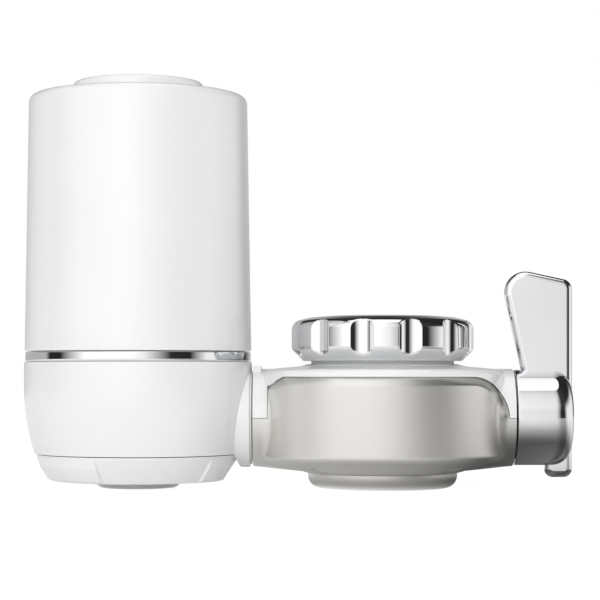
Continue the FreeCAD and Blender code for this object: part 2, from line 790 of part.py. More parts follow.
def o_rings():
    """Rubber rings of the cover, the spigot, the connector and the valve core."""
    ring_group("cover_seal", "-axis_spacing", "0", "Z", [
        ("cover_seal_height", f"{COVER_SEAL_GROOVE} + cover_seal_section", "cover_seal_section")])
    ring_group("spigot_o_rings", "-axis_spacing", "0", "Z", [
        (place, f"{SPIGOT_GROOVE} + spigot_ring_section", "spigot_ring_section")
        for place in SPIGOT_RINGS])
    ring_group("connector_o_rings", "0", "valve_height", "X", [
        (place, f"{CONNECTOR_GROOVE} + connector_ring_section", "connector_ring_section")
        for place in CONNECTOR_RINGS])
    ring_group("core_o_rings", "0", "valve_height", "X", [
        (place, f"{CORE_GROOVE} + core_ring_section", "core_ring_section")
        for place in CORE_RINGS])


def connector_tube():
    """Flanged tube that carries the water from the valve into the housing."""
    body = new_body("connector_tube", "0", "valve_height")
    flange = "-connector_flange_left + connector_flange"
    turn(body, "Tube", [
        ("-connector_left", "connector_bore_radius"),
        ("-connector_left", "connector_radius"),
        ("-connector_flange_left", "connector_radius"),
        ("-connector_flange_left", "connector_flange_radius"),
        (flange, "connector_flange_radius"),
        (flange, "connector_radius"),
        ("-connector_right", "connector_radius"),
        ("-connector_right", "connector_bore_radius")], "H_Axis")
    for index, place in enumerate(CONNECTOR_RINGS, start=1):
        ring_groove(body, f"RingGroove{index}", CONNECTOR_GROOVE, "connector_radius + 1", place,
                    "connector_ring_section", "H_Axis")


def case_outline(offset):
    """The front view's parting line of the case, from left to right, moved outward by offset."""
    radius = "(drum_top - valve_height)"
    return [
        ("-face_left", f"valve_height + {offset}"),
        (f"-face_left - {offset}", f"face_left_top + {offset}"),
        (f"-face_left_run - {offset}", f"drum_top + {offset}"),
        (f"face_arc_reach - {radius}", f"drum_top + {offset}",
         f"face_arc_reach - {radius} * (1 - sin(45)) + {offset}",
         f"valve_height + {radius} * cos(45) + {offset}"),
        (f"face_arc_reach + {offset}", f"valve_height + {offset}")]


def case_half(label, outer, inner, offset, far, foot_round=None):
    """One half of the diverter's case: a drum with two arms, cut at the parting line and hollowed."""
    body = new_body(label)
    turn(body, "Drum", outer)
    if foot_round:
        ring_dress(body, "FootRound", "Fillet", foot_round, "drum_radius", "drum_foot")
    arms = new_sketch(body, "ArmSketch", "YZ_Plane")
    draw_circle(arms, "0", "valve_height", "arm_radius")
    extrude(body, "Arms", arms, "2 * arm_reach", both=True)
    parting = new_sketch(body, "PartingSketch")
    line = case_outline(offset)
    reach = "arm_reach + 5"
    draw_outline(parting, [(f"-({reach})", f"valve_height + {offset}")] + [
        (f"-face_left - {offset}", line[0][1])] + line[1:] + [
        (reach, f"valve_height + {offset}"), (reach, far), (f"-({reach})", far)])
    extrude(body, "Parting", parting, "4 * drum_radius", both=True, cut=True)
    turn(body, "Hollow", inner, cut=True)
    drill(body, "ArmBore", "YZ_Plane", "0", "valve_height", "arm_radius - arm_wall", "0",
          "2 * (arm_reach - arm_end_wall)", both=True)
    drill(body, "LeftHole", "YZ_Plane", "0", "valve_height", "connector_radius + gap",
          "-arm_reach - 1", "arm_end_wall + 2")
    drill(body, "RightHole", "YZ_Plane", "0", "valve_height", "spindle_radius + gap",
          "arm_reach - arm_end_wall - 1", "arm_end_wall + 2")
    return body


def upper_casing():
    """White upper half of the case, with the shallow dome that the tap nut stands on."""
    hole = "thread_neck_radius + gap"
    roof = "dome_wall"
    body = case_half("upper_casing", [
        ("0", "valve_height"),
        ("drum_radius", "valve_height"),
        ("drum_radius", "dome_edge - dome_round",
         "drum_radius - dome_round * (1 - cos(45))", "dome_edge - dome_round * (1 - sin(45))"),
        ("drum_radius - dome_round", "dome_edge"),
        (f"{hole} + dome_slope", "dome_slope_foot"),
        (f"{hole} + dome_land", "dome_top"),
        ("0", "dome_top")], [
        ("0", "valve_height - 1"),
        ("drum_radius - drum_wall", "valve_height - 1"),
        ("drum_radius - drum_wall", f"dome_edge - {roof}"),
        (f"{hole} + dome_slope", f"dome_slope_foot - {roof}"),
        (f"{hole} + dome_land", f"dome_top - {roof}"),
        ("0", f"dome_top - {roof}")], "case_seam", "0")
    drill(body, "NeckHole", "XY_Plane", "0", "0", hole, f"dome_edge - 2 * {roof}", "dome_top")
    tab = new_sketch(body, "TabSketch", "YZ_Plane", "-arm_reach")
    draw_box(tab, "-tab_half_width", "valve_height + arm_radius - arm_wall", "2 * tab_half_width",
             "arm_wall + tab_rise")
    extrude(body, "Tab", tab, "tab_length")
    boss = new_sketch(body, "BossSketch", "XY_Plane", "screw_boss_foot")
    draw_circle(boss, *SCREW_SPOT, "screw_boss_radius")
    post = extrude(body, "Boss", boss, f"dome_edge - {roof} / 2 - screw_boss_foot")
    doc.recompute()
    ring_pattern(body, "Bosses", post, "screw_count")
    pilot = drill(body, "Pilot", "XY_Plane", *SCREW_SPOT, "case_screw_radius + running_gap",
                  "screw_boss_foot - 1", "case_screw_length + gap")
    doc.recompute()
    ring_pattern(body, "Pilots", pilot, "screw_count")


def lower_shell():
    """Satin nickel lower half of the case, a bowl with the lower halves of both arms."""
    floor = "outlet_floor + drum_wall"
    body = case_half("lower_shell", [
        ("0", "outlet_floor"),
        ("outlet_floor_radius", "outlet_floor"),
        ("drum_radius", "drum_foot"),
        ("drum_radius", "drum_top - face_bevel_width"),
        ("drum_radius - face_bevel", "drum_top"),
        ("drum_radius - face_bevel", "drum_top + 2"),
        ("0", "drum_top + 2")], [
        ("0", floor),
        ("outlet_floor_radius", floor),
        ("drum_radius - drum_wall", "drum_foot + drum_wall"),
        ("drum_radius - drum_wall", "drum_top + 3"),
        ("0", "drum_top + 3")], "0", "drum_top + arm_radius", "drum_foot_round")
    drill(body, "OutletHole", "XY_Plane", "0", "0", "ring_sleeve_radius + gap / 2", "0", floor + " + 1")
    boss = new_sketch(body, "BossSketch", "XY_Plane", f"{floor} - drum_wall / 4")
    draw_circle(boss, *SCREW_SPOT, "screw_boss_radius + gap")
    post = extrude(body, "Boss", boss, f"screw_boss_foot - gap - ({floor} - drum_wall / 4)")
    doc.recompute()
    ring_pattern(body, "Bosses", post, "screw_count")
    for name, radius, start, length in (
            ("Shank", "case_screw_radius + gap", "0", "screw_boss_foot + 1"),
            ("HeadWell", "screw_head_radius + gap", "0", "screw_seat")):
        hole = drill(body, name, "XY_Plane", *SCREW_SPOT, radius, start, length)
        doc.recompute()
        ring_pattern(body, name + "s", hole, "screw_count")


def valve_body():
    """Inner moulding: valve barrel, threaded neck for the nut and outlet column."""
    body = new_body("valve_body", "0", "valve_height")
    turn(body, "Barrel", [
        ("-barrel_left", "0"),
        ("-barrel_left", "barrel_radius"),
        ("barrel_right", "barrel_radius"),
        ("barrel_right", "0")], "H_Axis")
    flange_top = "neck_flange_foot + neck_flange"
    turn(body, "Column", [
        ("0", "outlet_column_foot - valve_height"),
        ("outlet_column_radius", "outlet_column_foot - valve_height"),
        ("outlet_column_radius", "0"),
        ("column_radius", "0"),
        ("column_radius", "neck_flange_foot - valve_height"),
        ("neck_flange_radius", "neck_flange_foot - valve_height"),
        ("neck_flange_radius", f"{flange_top} - valve_height"),
        ("thread_neck_radius", f"{flange_top} - valve_height"),
        ("thread_neck_radius", "thread_neck_top - valve_height"),
        ("0", "thread_neck_top - valve_height")])
    turn(body, "NeckBore", [
        ("0", "0"),
        ("inlet_port_radius", "0"),
        ("inlet_port_radius", "thread_neck_floor - valve_height"),
        ("thread_neck_bore", "thread_neck_floor - valve_height"),
        ("thread_neck_bore", "thread_neck_top + 1 - valve_height"),
        ("0", "thread_neck_top + 1 - valve_height")], cut=True)
    drill(body, "StreamPort", "XY_Plane", "0", "0", "stream_port_radius",
          "outlet_column_foot - valve_height - 1", "valve_height")
    turn(body, "SprayChamber", [
        ("chamber_inner_radius", "outlet_column_foot - valve_height - 1"),
        ("seal_bore_radius", "outlet_column_foot - valve_height - 1"),
        ("seal_bore_radius", "chamber_top - valve_height"),
        ("chamber_inner_radius", "chamber_top - valve_height")], cut=True)
    drill(body, "SprayPort", "XY_Plane", "(chamber_inner_radius + seal_bore_radius) / 2", "0",
          "spray_port_radius", "chamber_top - valve_height - 1", "valve_height - chamber_top")
    drill(body, "Bore", "YZ_Plane", "0", "0", "barrel_bore_radius", "-barrel_left - 1",
          "barrel_left + barrel_right + 2")
    drill_pair(body, "barrel_right - small_screw_length", "small_screw_length + 1")


def drill_pair(body, start, length):
    """The two small screw holes in the barrel's end, or in the retainer that closes it."""
    for side, sign in (("Front", "-"), ("Back", "")):
        drill(body, f"{side}ScrewHole", "YZ_Plane", f"{sign}({RETAINER_CIRCLE})", "0",
              "small_screw_radius + running_gap", start, length)


def valve_core():
    """Turning core: bore to the housing, inlet port, half-turn groove and a flatted spindle."""
    body = new_body("valve_core", "0", "valve_height")
    turn(body, "Core", [
        ("-core_left", "0"),
        ("-core_left", "barrel_bore_radius - running_gap"),
        ("core_right", "barrel_bore_radius - running_gap"),
        ("core_right", "spindle_radius"),
        ("spindle_end", "spindle_radius"),
        ("spindle_end", "0")], "H_Axis")
    drill(body, "Bore", "YZ_Plane", "0", "0", "core_bore_radius", "-core_left - 1",
          "core_left + core_bore_end + 1")
    drill(body, "InletPort", "XY_Plane", "0", "0", "core_port_radius", "0", "barrel_bore_radius + 1")
    floor = "barrel_bore_radius - core_groove_depth"
    groove = turn(body, "HalfTurnGroove", [
        ("-core_groove_width / 2", f"-({floor})"),
        ("core_groove_width / 2", f"-({floor})"),
        ("core_groove_width / 2", "-barrel_bore_radius - 1"),
        ("-core_groove_width / 2", "-barrel_bore_radius - 1")], "H_Axis", cut=True)
    groove.Angle = 180
    groove.Midplane = True
    for index, place in enumerate(CORE_RINGS, start=1):
        ring_groove(body, f"RingGroove{index}", CORE_GROOVE, "barrel_bore_radius + 1", place,
                    "core_ring_section", "H_Axis")
    flat = new_sketch(body, "FlatSketch", "YZ_Plane", "spindle_flat_start")
    draw_box(flat, "-spindle_radius - 1", "spindle_flat", "2 * spindle_radius + 2", "spindle_radius")
    extrude(body, "Flat", flat, "spindle_end", cut=True)
    drill(body, "ScrewHole", "YZ_Plane", "0", "0", "lever_screw_radius + running_gap",
          "screw_well_floor - lever_screw_length - gap", "lever_screw_length")


def core_retainer():
    """Round plate that keeps the core in its barrel."""
    body = new_body("core_retainer", "0", "valve_height")
    plate = new_sketch(body, "PlateSketch", "YZ_Plane", "barrel_right")
    draw_circle(plate, "0", "0", "barrel_radius")
    extrude(body, "Plate", plate, "retainer_thickness")
    drill(body, "SpindleHole", "YZ_Plane", "0", "0", "spindle_radius + gap", "barrel_right - 1",
          "retainer_thickness + 2")
    drill_pair(body, "barrel_right - 1", "retainer_thickness + 2")


def screw(label, radius, length, head_radius, head_height):
    """A pan-head screw pointing up the Z axis, with a socket in its head."""
    body = new_body(label)
    turn(body, "Screw", [
        ("0", f"-{head_height}"),
        (f"{head_radius} - {head_height} / 3", f"-{head_height}"),
        (head_radius, f"-{head_height} * 2 / 3"),
        (head_radius, "0"),
        (radius, "0"),
        (radius, f"{length} - {radius}"),
        (f"{radius} / 2", length),
        ("0", length)])
    drive = new_sketch(body, "DriveSketch", "XY_Plane", f"-{head_height} - gap")
    draw_cross(drive, f"{radius} * 0.85", f"{radius} * 0.3")
    extrude(body, "Drive", drive, f"{head_height} / 2 + gap", cut=True)
    return body


def draw_cross(sketch, arm, half):
    """A plus-shaped outline, arm long from its centre and half wide each side."""
    draw_outline(sketch, [
        (arm, f"-{half}"), (arm, half), (half, half), (half, arm), (f"-{half}", arm),
        (f"-{half}", half), (f"-{arm}", half), (f"-{arm}", f"-{half}"), (f"-{half}", f"-{half}"),
        (f"-{half}", f"-{arm}"), (half, f"-{arm}"), (half, f"-{half}")])


def fasteners():
    """Four case screws from below, two retainer screws and the lever screw."""
    model = screw("case_screw_model", "case_screw_radius", "case_screw_length",
                  "screw_head_radius", "screw_head_height")
    small = screw("retainer_screw_model", "small_screw_radius", "small_screw_length",
                  "small_head_radius", "small_head_height")
    lever_screw = screw("lever_screw", "lever_screw_radius", "lever_screw_length",
                        "lever_head_radius", "lever_head_height")
    lever_screw.setExpression("Placement.Base.x", linked("screw_well_floor"))
    lever_screw.setExpression("Placement.Base.z", linked(f"valve_height - ({TAP_SEAT})"))
    lever_screw.Placement.Rotation = FreeCAD.Rotation(Vector(0, 1, 0), -90)
    for single in (model, small):
        parts.remove(single)
    doc.recompute()
    lift = Vector(0, 0, -number(TAP_SEAT))
    case_spots = []
    for index in range(int(number("screw_count"))):
        angle = 45 + 360 / number("screw_count") * index
        spot = FreeCAD.Rotation(Vector(0, 0, 1), angle).multVec(Vector(number("screw_circle"), 0, 0))
        spot.z = number("screw_seat")
        case_spots.append(FreeCAD.Placement(spot + lift, FreeCAD.Rotation()))
    seat = number("barrel_right + retainer_thickness")
    inward = FreeCAD.Rotation(Vector(0, 1, 0), -90)
    retainer_spots = [
        FreeCAD.Placement(Vector(seat, side * number(RETAINER_CIRCLE), number("valve_height")) + lift,
                          inward)
        for side in (-1, 1)]
    for label, source, spots in (("case_screws", model, case_spots),
                                 ("retainer_screws", small, retainer_spots)):
        group = doc.addObject("Part::Feature", label)
        group.Label = label
        copies = []
        for spot in spots:
            copy = source.Shape.copy()
            copy.Placement = spot
            copies.append(copy)
        group.Shape = Part.Compound(copies)
        parts.append(group)


def lever():
    """Chrome lever: hub with a domed end, flat blade above it and a short tail below."""
    body = new_body("lever", "0", "valve_height")
    blade = new_sketch(body, "BladeSketch")
    draw_outline(blade, [
        ("blade_left_foot", "blade_foot"),
        ("blade_left_head", "blade_head_left"),
        ("blade_right", "blade_head_right"),
        ("blade_right", "-tail_foot"),
        ("tail_left", "-tail_foot"),
        ("tail_left", "-blade_foot"),
        ("hub_right", "-blade_foot"),
        ("hub_right", "blade_foot")])
    extrude(body, "Blade", blade, "blade_thickness", both=True)
    for name, size, x, z in (
            ("HeadLeft", "blade_round_left", "blade_left_head", "blade_head_left"),
            ("HeadRight", "blade_round_right", "blade_right", "blade_head_right"),
            ("TailRight", "tail_round", "blade_right", "-tail_foot"),
            ("TailLeft", "tail_round", "tail_left", "-tail_foot")):
        doc.recompute()
        dress(body, name, "Fillet", size, cross_edges(body.Tip.Shape, x, z))
    doc.recompute()
    dress(body, "BladeRound", "Fillet", "blade_round", face_edges(body.Tip.Shape, "blade_thickness / 2"))
    turn(body, "Hub", [
        ("hub_left", "0"),
        ("hub_left", "hub_radius"),
        ("hub_right", "hub_radius", "hub_shoulder", "hub_shoulder_radius"),
        ("hub_end", "hub_end_radius"),
        ("hub_end", "0")], "H_Axis")
    turn(body, "ScrewWell", [
        ("spindle_end + gap", "0"),
        ("spindle_end + gap", "lever_screw_radius + gap"),
        ("screw_well_floor", "lever_screw_radius + gap"),
        ("screw_well_floor", "screw_well_radius"),
        ("hub_end + 1", "screw_well_radius"),
        ("hub_end + 1", "0")], "H_Axis", cut=True)
    drive = new_sketch(body, "SpindleSketch", "YZ_Plane", "hub_left - 1")
    radius = "(spindle_radius + running_gap)"
    flat = "(spindle_flat + running_gap)"
    half = f"sqrt({radius} * {radius} - {flat} * {flat})"
    draw_outline(drive, [
        (half, flat),
        (f"-{half}", flat, "0", f"-{radius}")])
    extrude(body, "SpindleSocket", drive, "spindle_end + gap + 1 - hub_left", cut=True)


def cross_edges(shape, x, z):
    """Names of the straight edges along Y that pass through x, z."""
    names = []
    for index, edge in enumerate(shape.Edges, start=1):
        first, last = edge.firstVertex().Point, edge.lastVertex().Point
        if abs(first.y - last.y) < 0.1:
            continue
        if all(abs(point.x - number(x)) < 0.01 and abs(point.z - number(z)) < 0.01
               for point in (first, last)):
            names.append(f"Edge{index}")
    return names


def face_edges(shape, half_thickness):
    """Names of the edges that lie in the two flat faces of a slab centred on the XZ plane."""
    depth = number(half_thickness)
    return [f"Edge{index}" for index, edge in enumerate(shape.Edges, start=1)
            if all(abs(abs(point.y) - depth) < 0.01 for point in
                   [vertex.Point for vertex in edge.Vertexes] + [edge.valueAt(edge.FirstParameter)])]


def lever_plug():
    """Chrome plug that closes the lever's screw well."""
    body = new_body("lever_plug", "0", "valve_height")
    plug = new_sketch(body, "PlugSketch", "YZ_Plane", "hub_end - plug_thickness")
    draw_circle(plug, "0", "0", "screw_well_radius - running_gap")
    extrude(body, "Plug", plug, "plug_thickness")


def mounting_nut():
    """Chrome ring nut with round ribs; it draws the tap adapter down on the neck."""
    body = new_body("mounting_nut")
    body.Placement.Rotation = FreeCAD.Rotation(Vector(0, 0, 1), 180 / number("rib_count"))
    turn(body, "Ring", [
        ("0", "nut_foot"),
        ("nut_foot_radius", "nut_foot"),
        ("nut_floor_radius", "nut_floor_foot"),
        ("nut_floor_radius", "nut_rim_foot"),
        ("nut_rim_radius", "nut_rim_foot"),
        ("nut_rim_radius", "nut_top - nut_round",
         "nut_rim_radius - nut_round * (1 - cos(45))", "nut_top - nut_round * (1 - sin(45))"),
        ("nut_rim_radius - nut_round", "nut_top"),
        ("0", "nut_top")])
    rib_sketch = new_sketch(body, "RibSketch")
    draw_outline(rib_sketch, [
        ("rib_circle", "rib_low - rib_radius",
         "rib_circle - rib_radius * sin(45)", "rib_low - rib_radius * cos(45)"),
        ("rib_circle - rib_radius", "rib_low"),
        ("rib_circle - rib_radius", "rib_high",
         "rib_circle - rib_radius * sin(45)", "rib_high + rib_radius * cos(45)"),
        ("rib_circle", "rib_high + rib_radius")])
    rib = body.newObject("PartDesign::Revolution", "Rib")
    rib.Profile = (rib_sketch, [""])
    rib.ReferenceAxis = (rib_sketch, ["Edge4"])
    rib.Angle = 360
    doc.recompute()
    ring_pattern(body, "Ribs", rib, "rib_count")
    bore = "thread_neck_radius + running_gap"
    turn(body, "Bore", [
        ("0", "nut_foot - 1"),
        (bore, "nut_foot - 1"),
        (bore, "nut_top - nut_lip"),
        ("nut_hole_radius", "nut_top - nut_lip"),
        ("nut_hole_radius", "nut_top - nut_top_chamfer"),
        ("nut_hole_radius + nut_top_chamfer", "nut_top"),
        ("nut_hole_radius + nut_top_chamfer", "nut_top + 1"),
        ("0", "nut_top + 1")], cut=True)


def tap_adapter():
    """Threaded adapter for the tap's end, clamped by its flange; the fine thread is left plain."""
    body = new_body("tap_adapter")
    seat = "thread_neck_top + gasket_thickness"
    flange_top = "nut_top - nut_lip - running_gap"
    ledge = "adapter_foot + adapter_ledge"
    turn(body, "Adapter", [
        ("adapter_ledge_radius", "adapter_foot"),
        ("adapter_radius", "adapter_foot"),
        ("adapter_radius", seat),
        ("adapter_flange_radius", seat),
        ("adapter_flange_radius", flange_top),
        ("adapter_radius", flange_top),
        ("adapter_radius", "adapter_top"),
        ("adapter_thread_radius", "adapter_top"),
        ("adapter_thread_radius", TAP_SEAT),
        ("adapter_relief_radius", TAP_SEAT),
        ("adapter_relief_radius", ledge),
        ("adapter_ledge_radius", ledge)])


def flat_ring(label, foot, height, inner, outer):
    """A flat ring about the tap's axis."""
    body = new_body(label, "0", foot)
    turn(body, "Ring", [(inner, "0"), (outer, "0"), (outer, height), (inner, height)])


def outlet_ring():
    """Satin nickel ring under the diverter, with a large rounded foot."""
    body = new_body("outlet_ring")
    turn(body, "Ring", [("ring_mouth_radius", "0")] + rounded_foot("ring_radius", "ring_round") + [
        ("ring_radius", "outlet_floor - case_seam"),
        ("ring_sleeve_radius", "outlet_floor - case_seam"),
        ("ring_sleeve_radius", "ring_sleeve_top"),
        ("ring_bore_radius", "ring_sleeve_top"),
        ("ring_bore_radius", "ring_ledge"),
        ("ring_mouth_radius", "ring_ledge")])


def spray_face():
    """White plate with a ring of spray holes and a cup for the aerator at its middle."""
    body = new_body("spray_face", "0", "ring_ledge")
    cup = "aerator_radius + seal_gap"
    cup_top = "outlet_column_foot - gap - ring_ledge"
    turn(body, "Plate", [
        ("aerator_mouth_radius", "0"),
        ("seal_radius", "0"),
        ("seal_radius", "spray_thickness"),
        (f"{cup} + aerator_cup_wall", "spray_thickness"),
        (f"{cup} + aerator_cup_wall", cup_top),
        (cup, cup_top),
        (cup, "aerator_ledge"),
        ("aerator_mouth_radius", "aerator_ledge")])
    hole = drill(body, "SprayHole", "XY_Plane", "spray_circle", "0", "spray_hole_radius",
                 "-gap", "spray_thickness + 2 * gap")
    doc.recompute()
    ring_pattern(body, "SprayHoles", hole, "spray_hole_count")


NOZZLE_BODY = "socket_foot_radius + running_gap + nozzle_wall"
CONNECTOR_BORE = "connector_radius + running_gap"
CONNECTOR_GROOVE = "connector_radius - 2 * connector_ring_section"
CONNECTOR_RINGS = ("connector_ring_left", "connector_ring_right")
COVER_SEAL_GROOVE = "neck_radius + cover_skirt_gap - running_gap - 2 * cover_seal_section"
SPIGOT_GROOVE = "socket_radius - seal_gap - 2 * spigot_ring_section"
SPIGOT_RINGS = ("spigot_ring_low", "spigot_ring_low + spigot_ring_pitch")
CORE_GROOVE = "barrel_bore_radius - seal_gap - 2 * core_ring_section"
CORE_RINGS = ("core_ring_left", "core_ring_left + core_ring_pitch", "core_ring_right")
RETAINER_CIRCLE = "(barrel_bore_radius + barrel_radius) / 2"
SCREW_SPOT = ("screw_circle * cos(45)", "screw_circle * sin(45)")
AERATOR_FOOT = "ring_ledge + aerator_ledge"
SCREEN_FOOT = "adapter_foot + adapter_ledge"

filter_base()
base_bottom_cap()
outlet_nozzle()
holed_disc("outlet_insert", "-axis_spacing", "nozzle_ledge", "insert_thickness",
           "socket_foot_radius - seal_gap", "flow_hole_radius", [("flow_ring_radius", "flow_hole_count")])
trim_ring()
top_cover()
cartridge()
connector_tube()
upper_casing()
lower_shell()
valve_body()
valve_core()
core_retainer()
lever()
lever_plug()
fasteners()
mounting_nut()
tap_adapter()
flat_ring("adapter_gasket", "thread_neck_top", "gasket_thickness", "adapter_radius + gap",
          "adapter_flange_radius")
holed_disc("inlet_screen", "0", SCREEN_FOOT, "screen_thickness", "washer_radius",
           "screen_hole_radius", [("screen_ring_radius", "screen_hole_count")])
flat_ring("inlet_washer", f"{SCREEN_FOOT} + screen_thickness", "washer_thickness",
          "washer_bore_radius", "washer_radius")
outlet_ring()
spray_face()
flat_ring("outlet_seal", "ring_ledge + spray_thickness",
          "outlet_column_foot - ring_ledge - spray_thickness", "seal_bore_radius", "seal_radius")
holed_disc("aerator_insert", "0", AERATOR_FOOT, "aerator_height", "aerator_radius",
           "aerator_hole_radius", [("aerator_ring_radius", "aerator_hole_count")])
holed_disc("aerator_screen", "0", f"{AERATOR_FOOT} + aerator_height", "screen_thickness",
           "aerator_radius", "screen_hole_radius", [("screen_ring_radius", "screen_hole_count")])
o_rings()

doc.recompute()
failed = [item.Name for item in doc.Objects if "Invalid" in item.State or "Error" in item.State]
if failed:
    raise RuntimeError("failed objects: " + ", ".join(failed))
for part in parts:
    if part.Shape.isNull() or not part.Shape.isValid() or not part.Shape.Solids:
        raise RuntimeError("bad shape: " + part.Label)

os.makedirs("parts", exist_ok=True)
for part in parts:
    part.Shape.exportStep(f"parts/{part.Label}.step")
    print(part.Label, len(part.Shape.Solids), round(part.Shape.Volume, 1))
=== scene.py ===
import json
import math

import bmesh
import bpy
import numpy as np
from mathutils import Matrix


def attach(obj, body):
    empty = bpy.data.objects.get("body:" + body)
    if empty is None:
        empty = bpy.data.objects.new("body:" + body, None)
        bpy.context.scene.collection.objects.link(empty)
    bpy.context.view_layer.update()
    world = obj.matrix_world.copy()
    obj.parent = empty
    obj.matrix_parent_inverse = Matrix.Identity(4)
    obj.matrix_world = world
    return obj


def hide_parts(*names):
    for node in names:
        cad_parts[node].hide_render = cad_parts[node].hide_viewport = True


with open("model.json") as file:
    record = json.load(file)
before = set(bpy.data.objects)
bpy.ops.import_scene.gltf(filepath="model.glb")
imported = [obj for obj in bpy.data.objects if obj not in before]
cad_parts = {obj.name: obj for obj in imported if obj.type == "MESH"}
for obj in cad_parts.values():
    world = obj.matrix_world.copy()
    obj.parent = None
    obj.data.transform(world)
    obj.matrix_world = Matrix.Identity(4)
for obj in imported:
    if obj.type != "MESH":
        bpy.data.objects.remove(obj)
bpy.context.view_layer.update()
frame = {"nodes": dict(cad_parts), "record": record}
nodes = frame["nodes"]

# Housing cover: a tall white polypropylene cup, moulded in one piece with a raised round
# disc on its roof and a ring inside that steadies the cartridge. It twists onto the base.
MILLIMETRE = 0.001
SEAT_HEIGHT = 44.1
HOUSING_X = -75.3
MERGED_WITHIN, FLATTENED_WITHIN = 2e-7, 1e-7
RUB_FROM, RUB_FULL = 0.42, 0.68
GRAIN_SHARE = 0.25
COAT_ROUGHNESS = 0.04
RELIEF_DEPTH = 0.0004


def rounded(corners, steps=8):
    """Points of an outline whose corners (x, y, round) become arcs that touch both sides.

    The arc leaves each side at round * tan(half the turn) from the corner, and its points are
    the centre plus round times the unit vector that turns evenly between the two sides' normals.
    """
    points = []
    count = len(corners)
    for i, (x, y, size) in enumerate(corners):
        here = np.array((x, y), float)
        before = np.array(corners[i - 1][:2], float) - here
        after = np.array(corners[(i + 1) % count][:2], float) - here
        before /= np.linalg.norm(before)
        after /= np.linalg.norm(after)
        cosine = float(np.clip(before @ after, -1, 1))
        half = math.acos(cosine) / 2
        if size <= 0 or half > math.pi / 2 - 0.01:
            points.append(here[None, :])
            continue
        middle = (before + after) / np.linalg.norm(before + after)
        centre = here + middle * size / math.sin(half)
        start = here + before * size / math.tan(half) - centre
        end = here + after * size / math.tan(half) - centre
        share = np.linspace(0, 1, steps)[:, None]
        turn = math.acos(float(np.clip(start @ end / size ** 2, -1, 1)))
        arc = (np.sin((1 - share) * turn) * start + np.sin(share * turn) * end) / math.sin(turn)
        points.append(centre + arc)
    return np.concatenate(points)


def evenly(line, spacing):
    """The closed line with points added so that no two are further apart than the spacing."""
    ends = np.roll(line, -1, 0)
    pieces = np.maximum(np.ceil(np.linalg.norm(ends - line, axis=1) / spacing).astype(int), 1)
    start = np.repeat(line, pieces, 0)
    step = np.repeat((ends - line) / pieces[:, None], pieces, 0)
    count = np.arange(len(start)) - np.repeat(np.cumsum(pieces) - pieces, pieces)
    return start + step * count[:, None]


def piece_from(name, points, faces, sharp=35):
    """A mesh object at the origin: points in millimetres above the outlets, made metres in the frame.

    Points that coincide are merged, faces are turned outwards, and edges that turn by more than
    the sharp angle in degrees stay crisp.
    """
    placed = (np.asarray(points, float) - (0, 0, SEAT_HEIGHT)) * MILLIMETRE
    mesh = bpy.data.meshes.new(name)
    mesh.from_pydata(placed.tolist(), [], np.asarray(faces).tolist())
    shape = bmesh.new()
    shape.from_mesh(mesh)
    bmesh.ops.remove_doubles(shape, verts=shape.verts, dist=MERGED_WITHIN)
    bmesh.ops.dissolve_degenerate(shape, edges=shape.edges, dist=FLATTENED_WITHIN)
    bmesh.ops.recalc_face_normals(shape, faces=shape.faces)
    shape.to_mesh(mesh)
    shape.free()
    mesh.shade_smooth()
    mesh.set_sharp_from_angle(angle=math.radians(sharp))
    made = bpy.data.objects.new(name, mesh)
    bpy.context.scene.collection.objects.link(made)
    return made


def sheet_faces(rows, columns, close_rows=True, close_columns=True):
    """Four corners of every cell of a grid numbered row by row, closed round where asked."""
    i = np.arange(rows if close_rows else rows - 1)[:, None]
    j = np.arange(columns if close_columns else columns - 1)[None, :]
    down, right = (i + 1) % rows, (j + 1) % columns
    return np.stack([i * columns + j, i * columns + right, down * columns + right,
                     down * columns + j], -1).reshape(-1, 4)


def turned(outline, steps=240, centre=(0, 0), along="Z"):
    """Grid of a closed outline in millimetres carried round an axis, as points and faces.

    About Z the outline gives radius r and height above the outlets, and a point is centre plus
    (r cos a, r sin a) at that height. About X it gives x and r, and a point is
    (x, centre y + r cos a, centre height + r sin a). The angles a are spaced evenly.
    """
    angle = np.linspace(0, 2 * math.pi, steps, endpoint=False)
    first, second = outline[:, :1], outline[:, 1:2]
    if along == "Z":
        grid = np.stack([centre[0] + first * np.cos(angle), centre[1] + first * np.sin(angle),
                         second + 0 * angle], -1)
    else:
        grid = np.stack([first + 0 * angle, centre[0] + second * np.cos(angle),
                         centre[1] + second * np.sin(angle)], -1)
    return grid.reshape(-1, 3), sheet_faces(len(outline), steps)


def joined(*shells):
    """Several shells as one list of points and one of faces."""
    offset, points, faces = 0, [], []
    for shell_points, shell_faces in shells:
        points.append(shell_points)
        faces.append(np.asarray(shell_faces) + offset)
        offset += len(shell_points)
    return np.concatenate(points), np.concatenate(faces)


def shader_group(name, inputs, outputs):
    """An empty shader node group with float inputs (name, value) and typed outputs."""
    group = bpy.data.node_groups.new(name, "ShaderNodeTree")
    for label, value in inputs:
        socket = group.interface.new_socket(label, in_out="INPUT", socket_type="NodeSocketFloat")
        socket.default_value = value
    for label, kind in outputs:
        group.interface.new_socket(label, in_out="OUTPUT", socket_type=kind)
    return group, group.nodes.new("NodeGroupInput"), group.nodes.new("NodeGroupOutput")


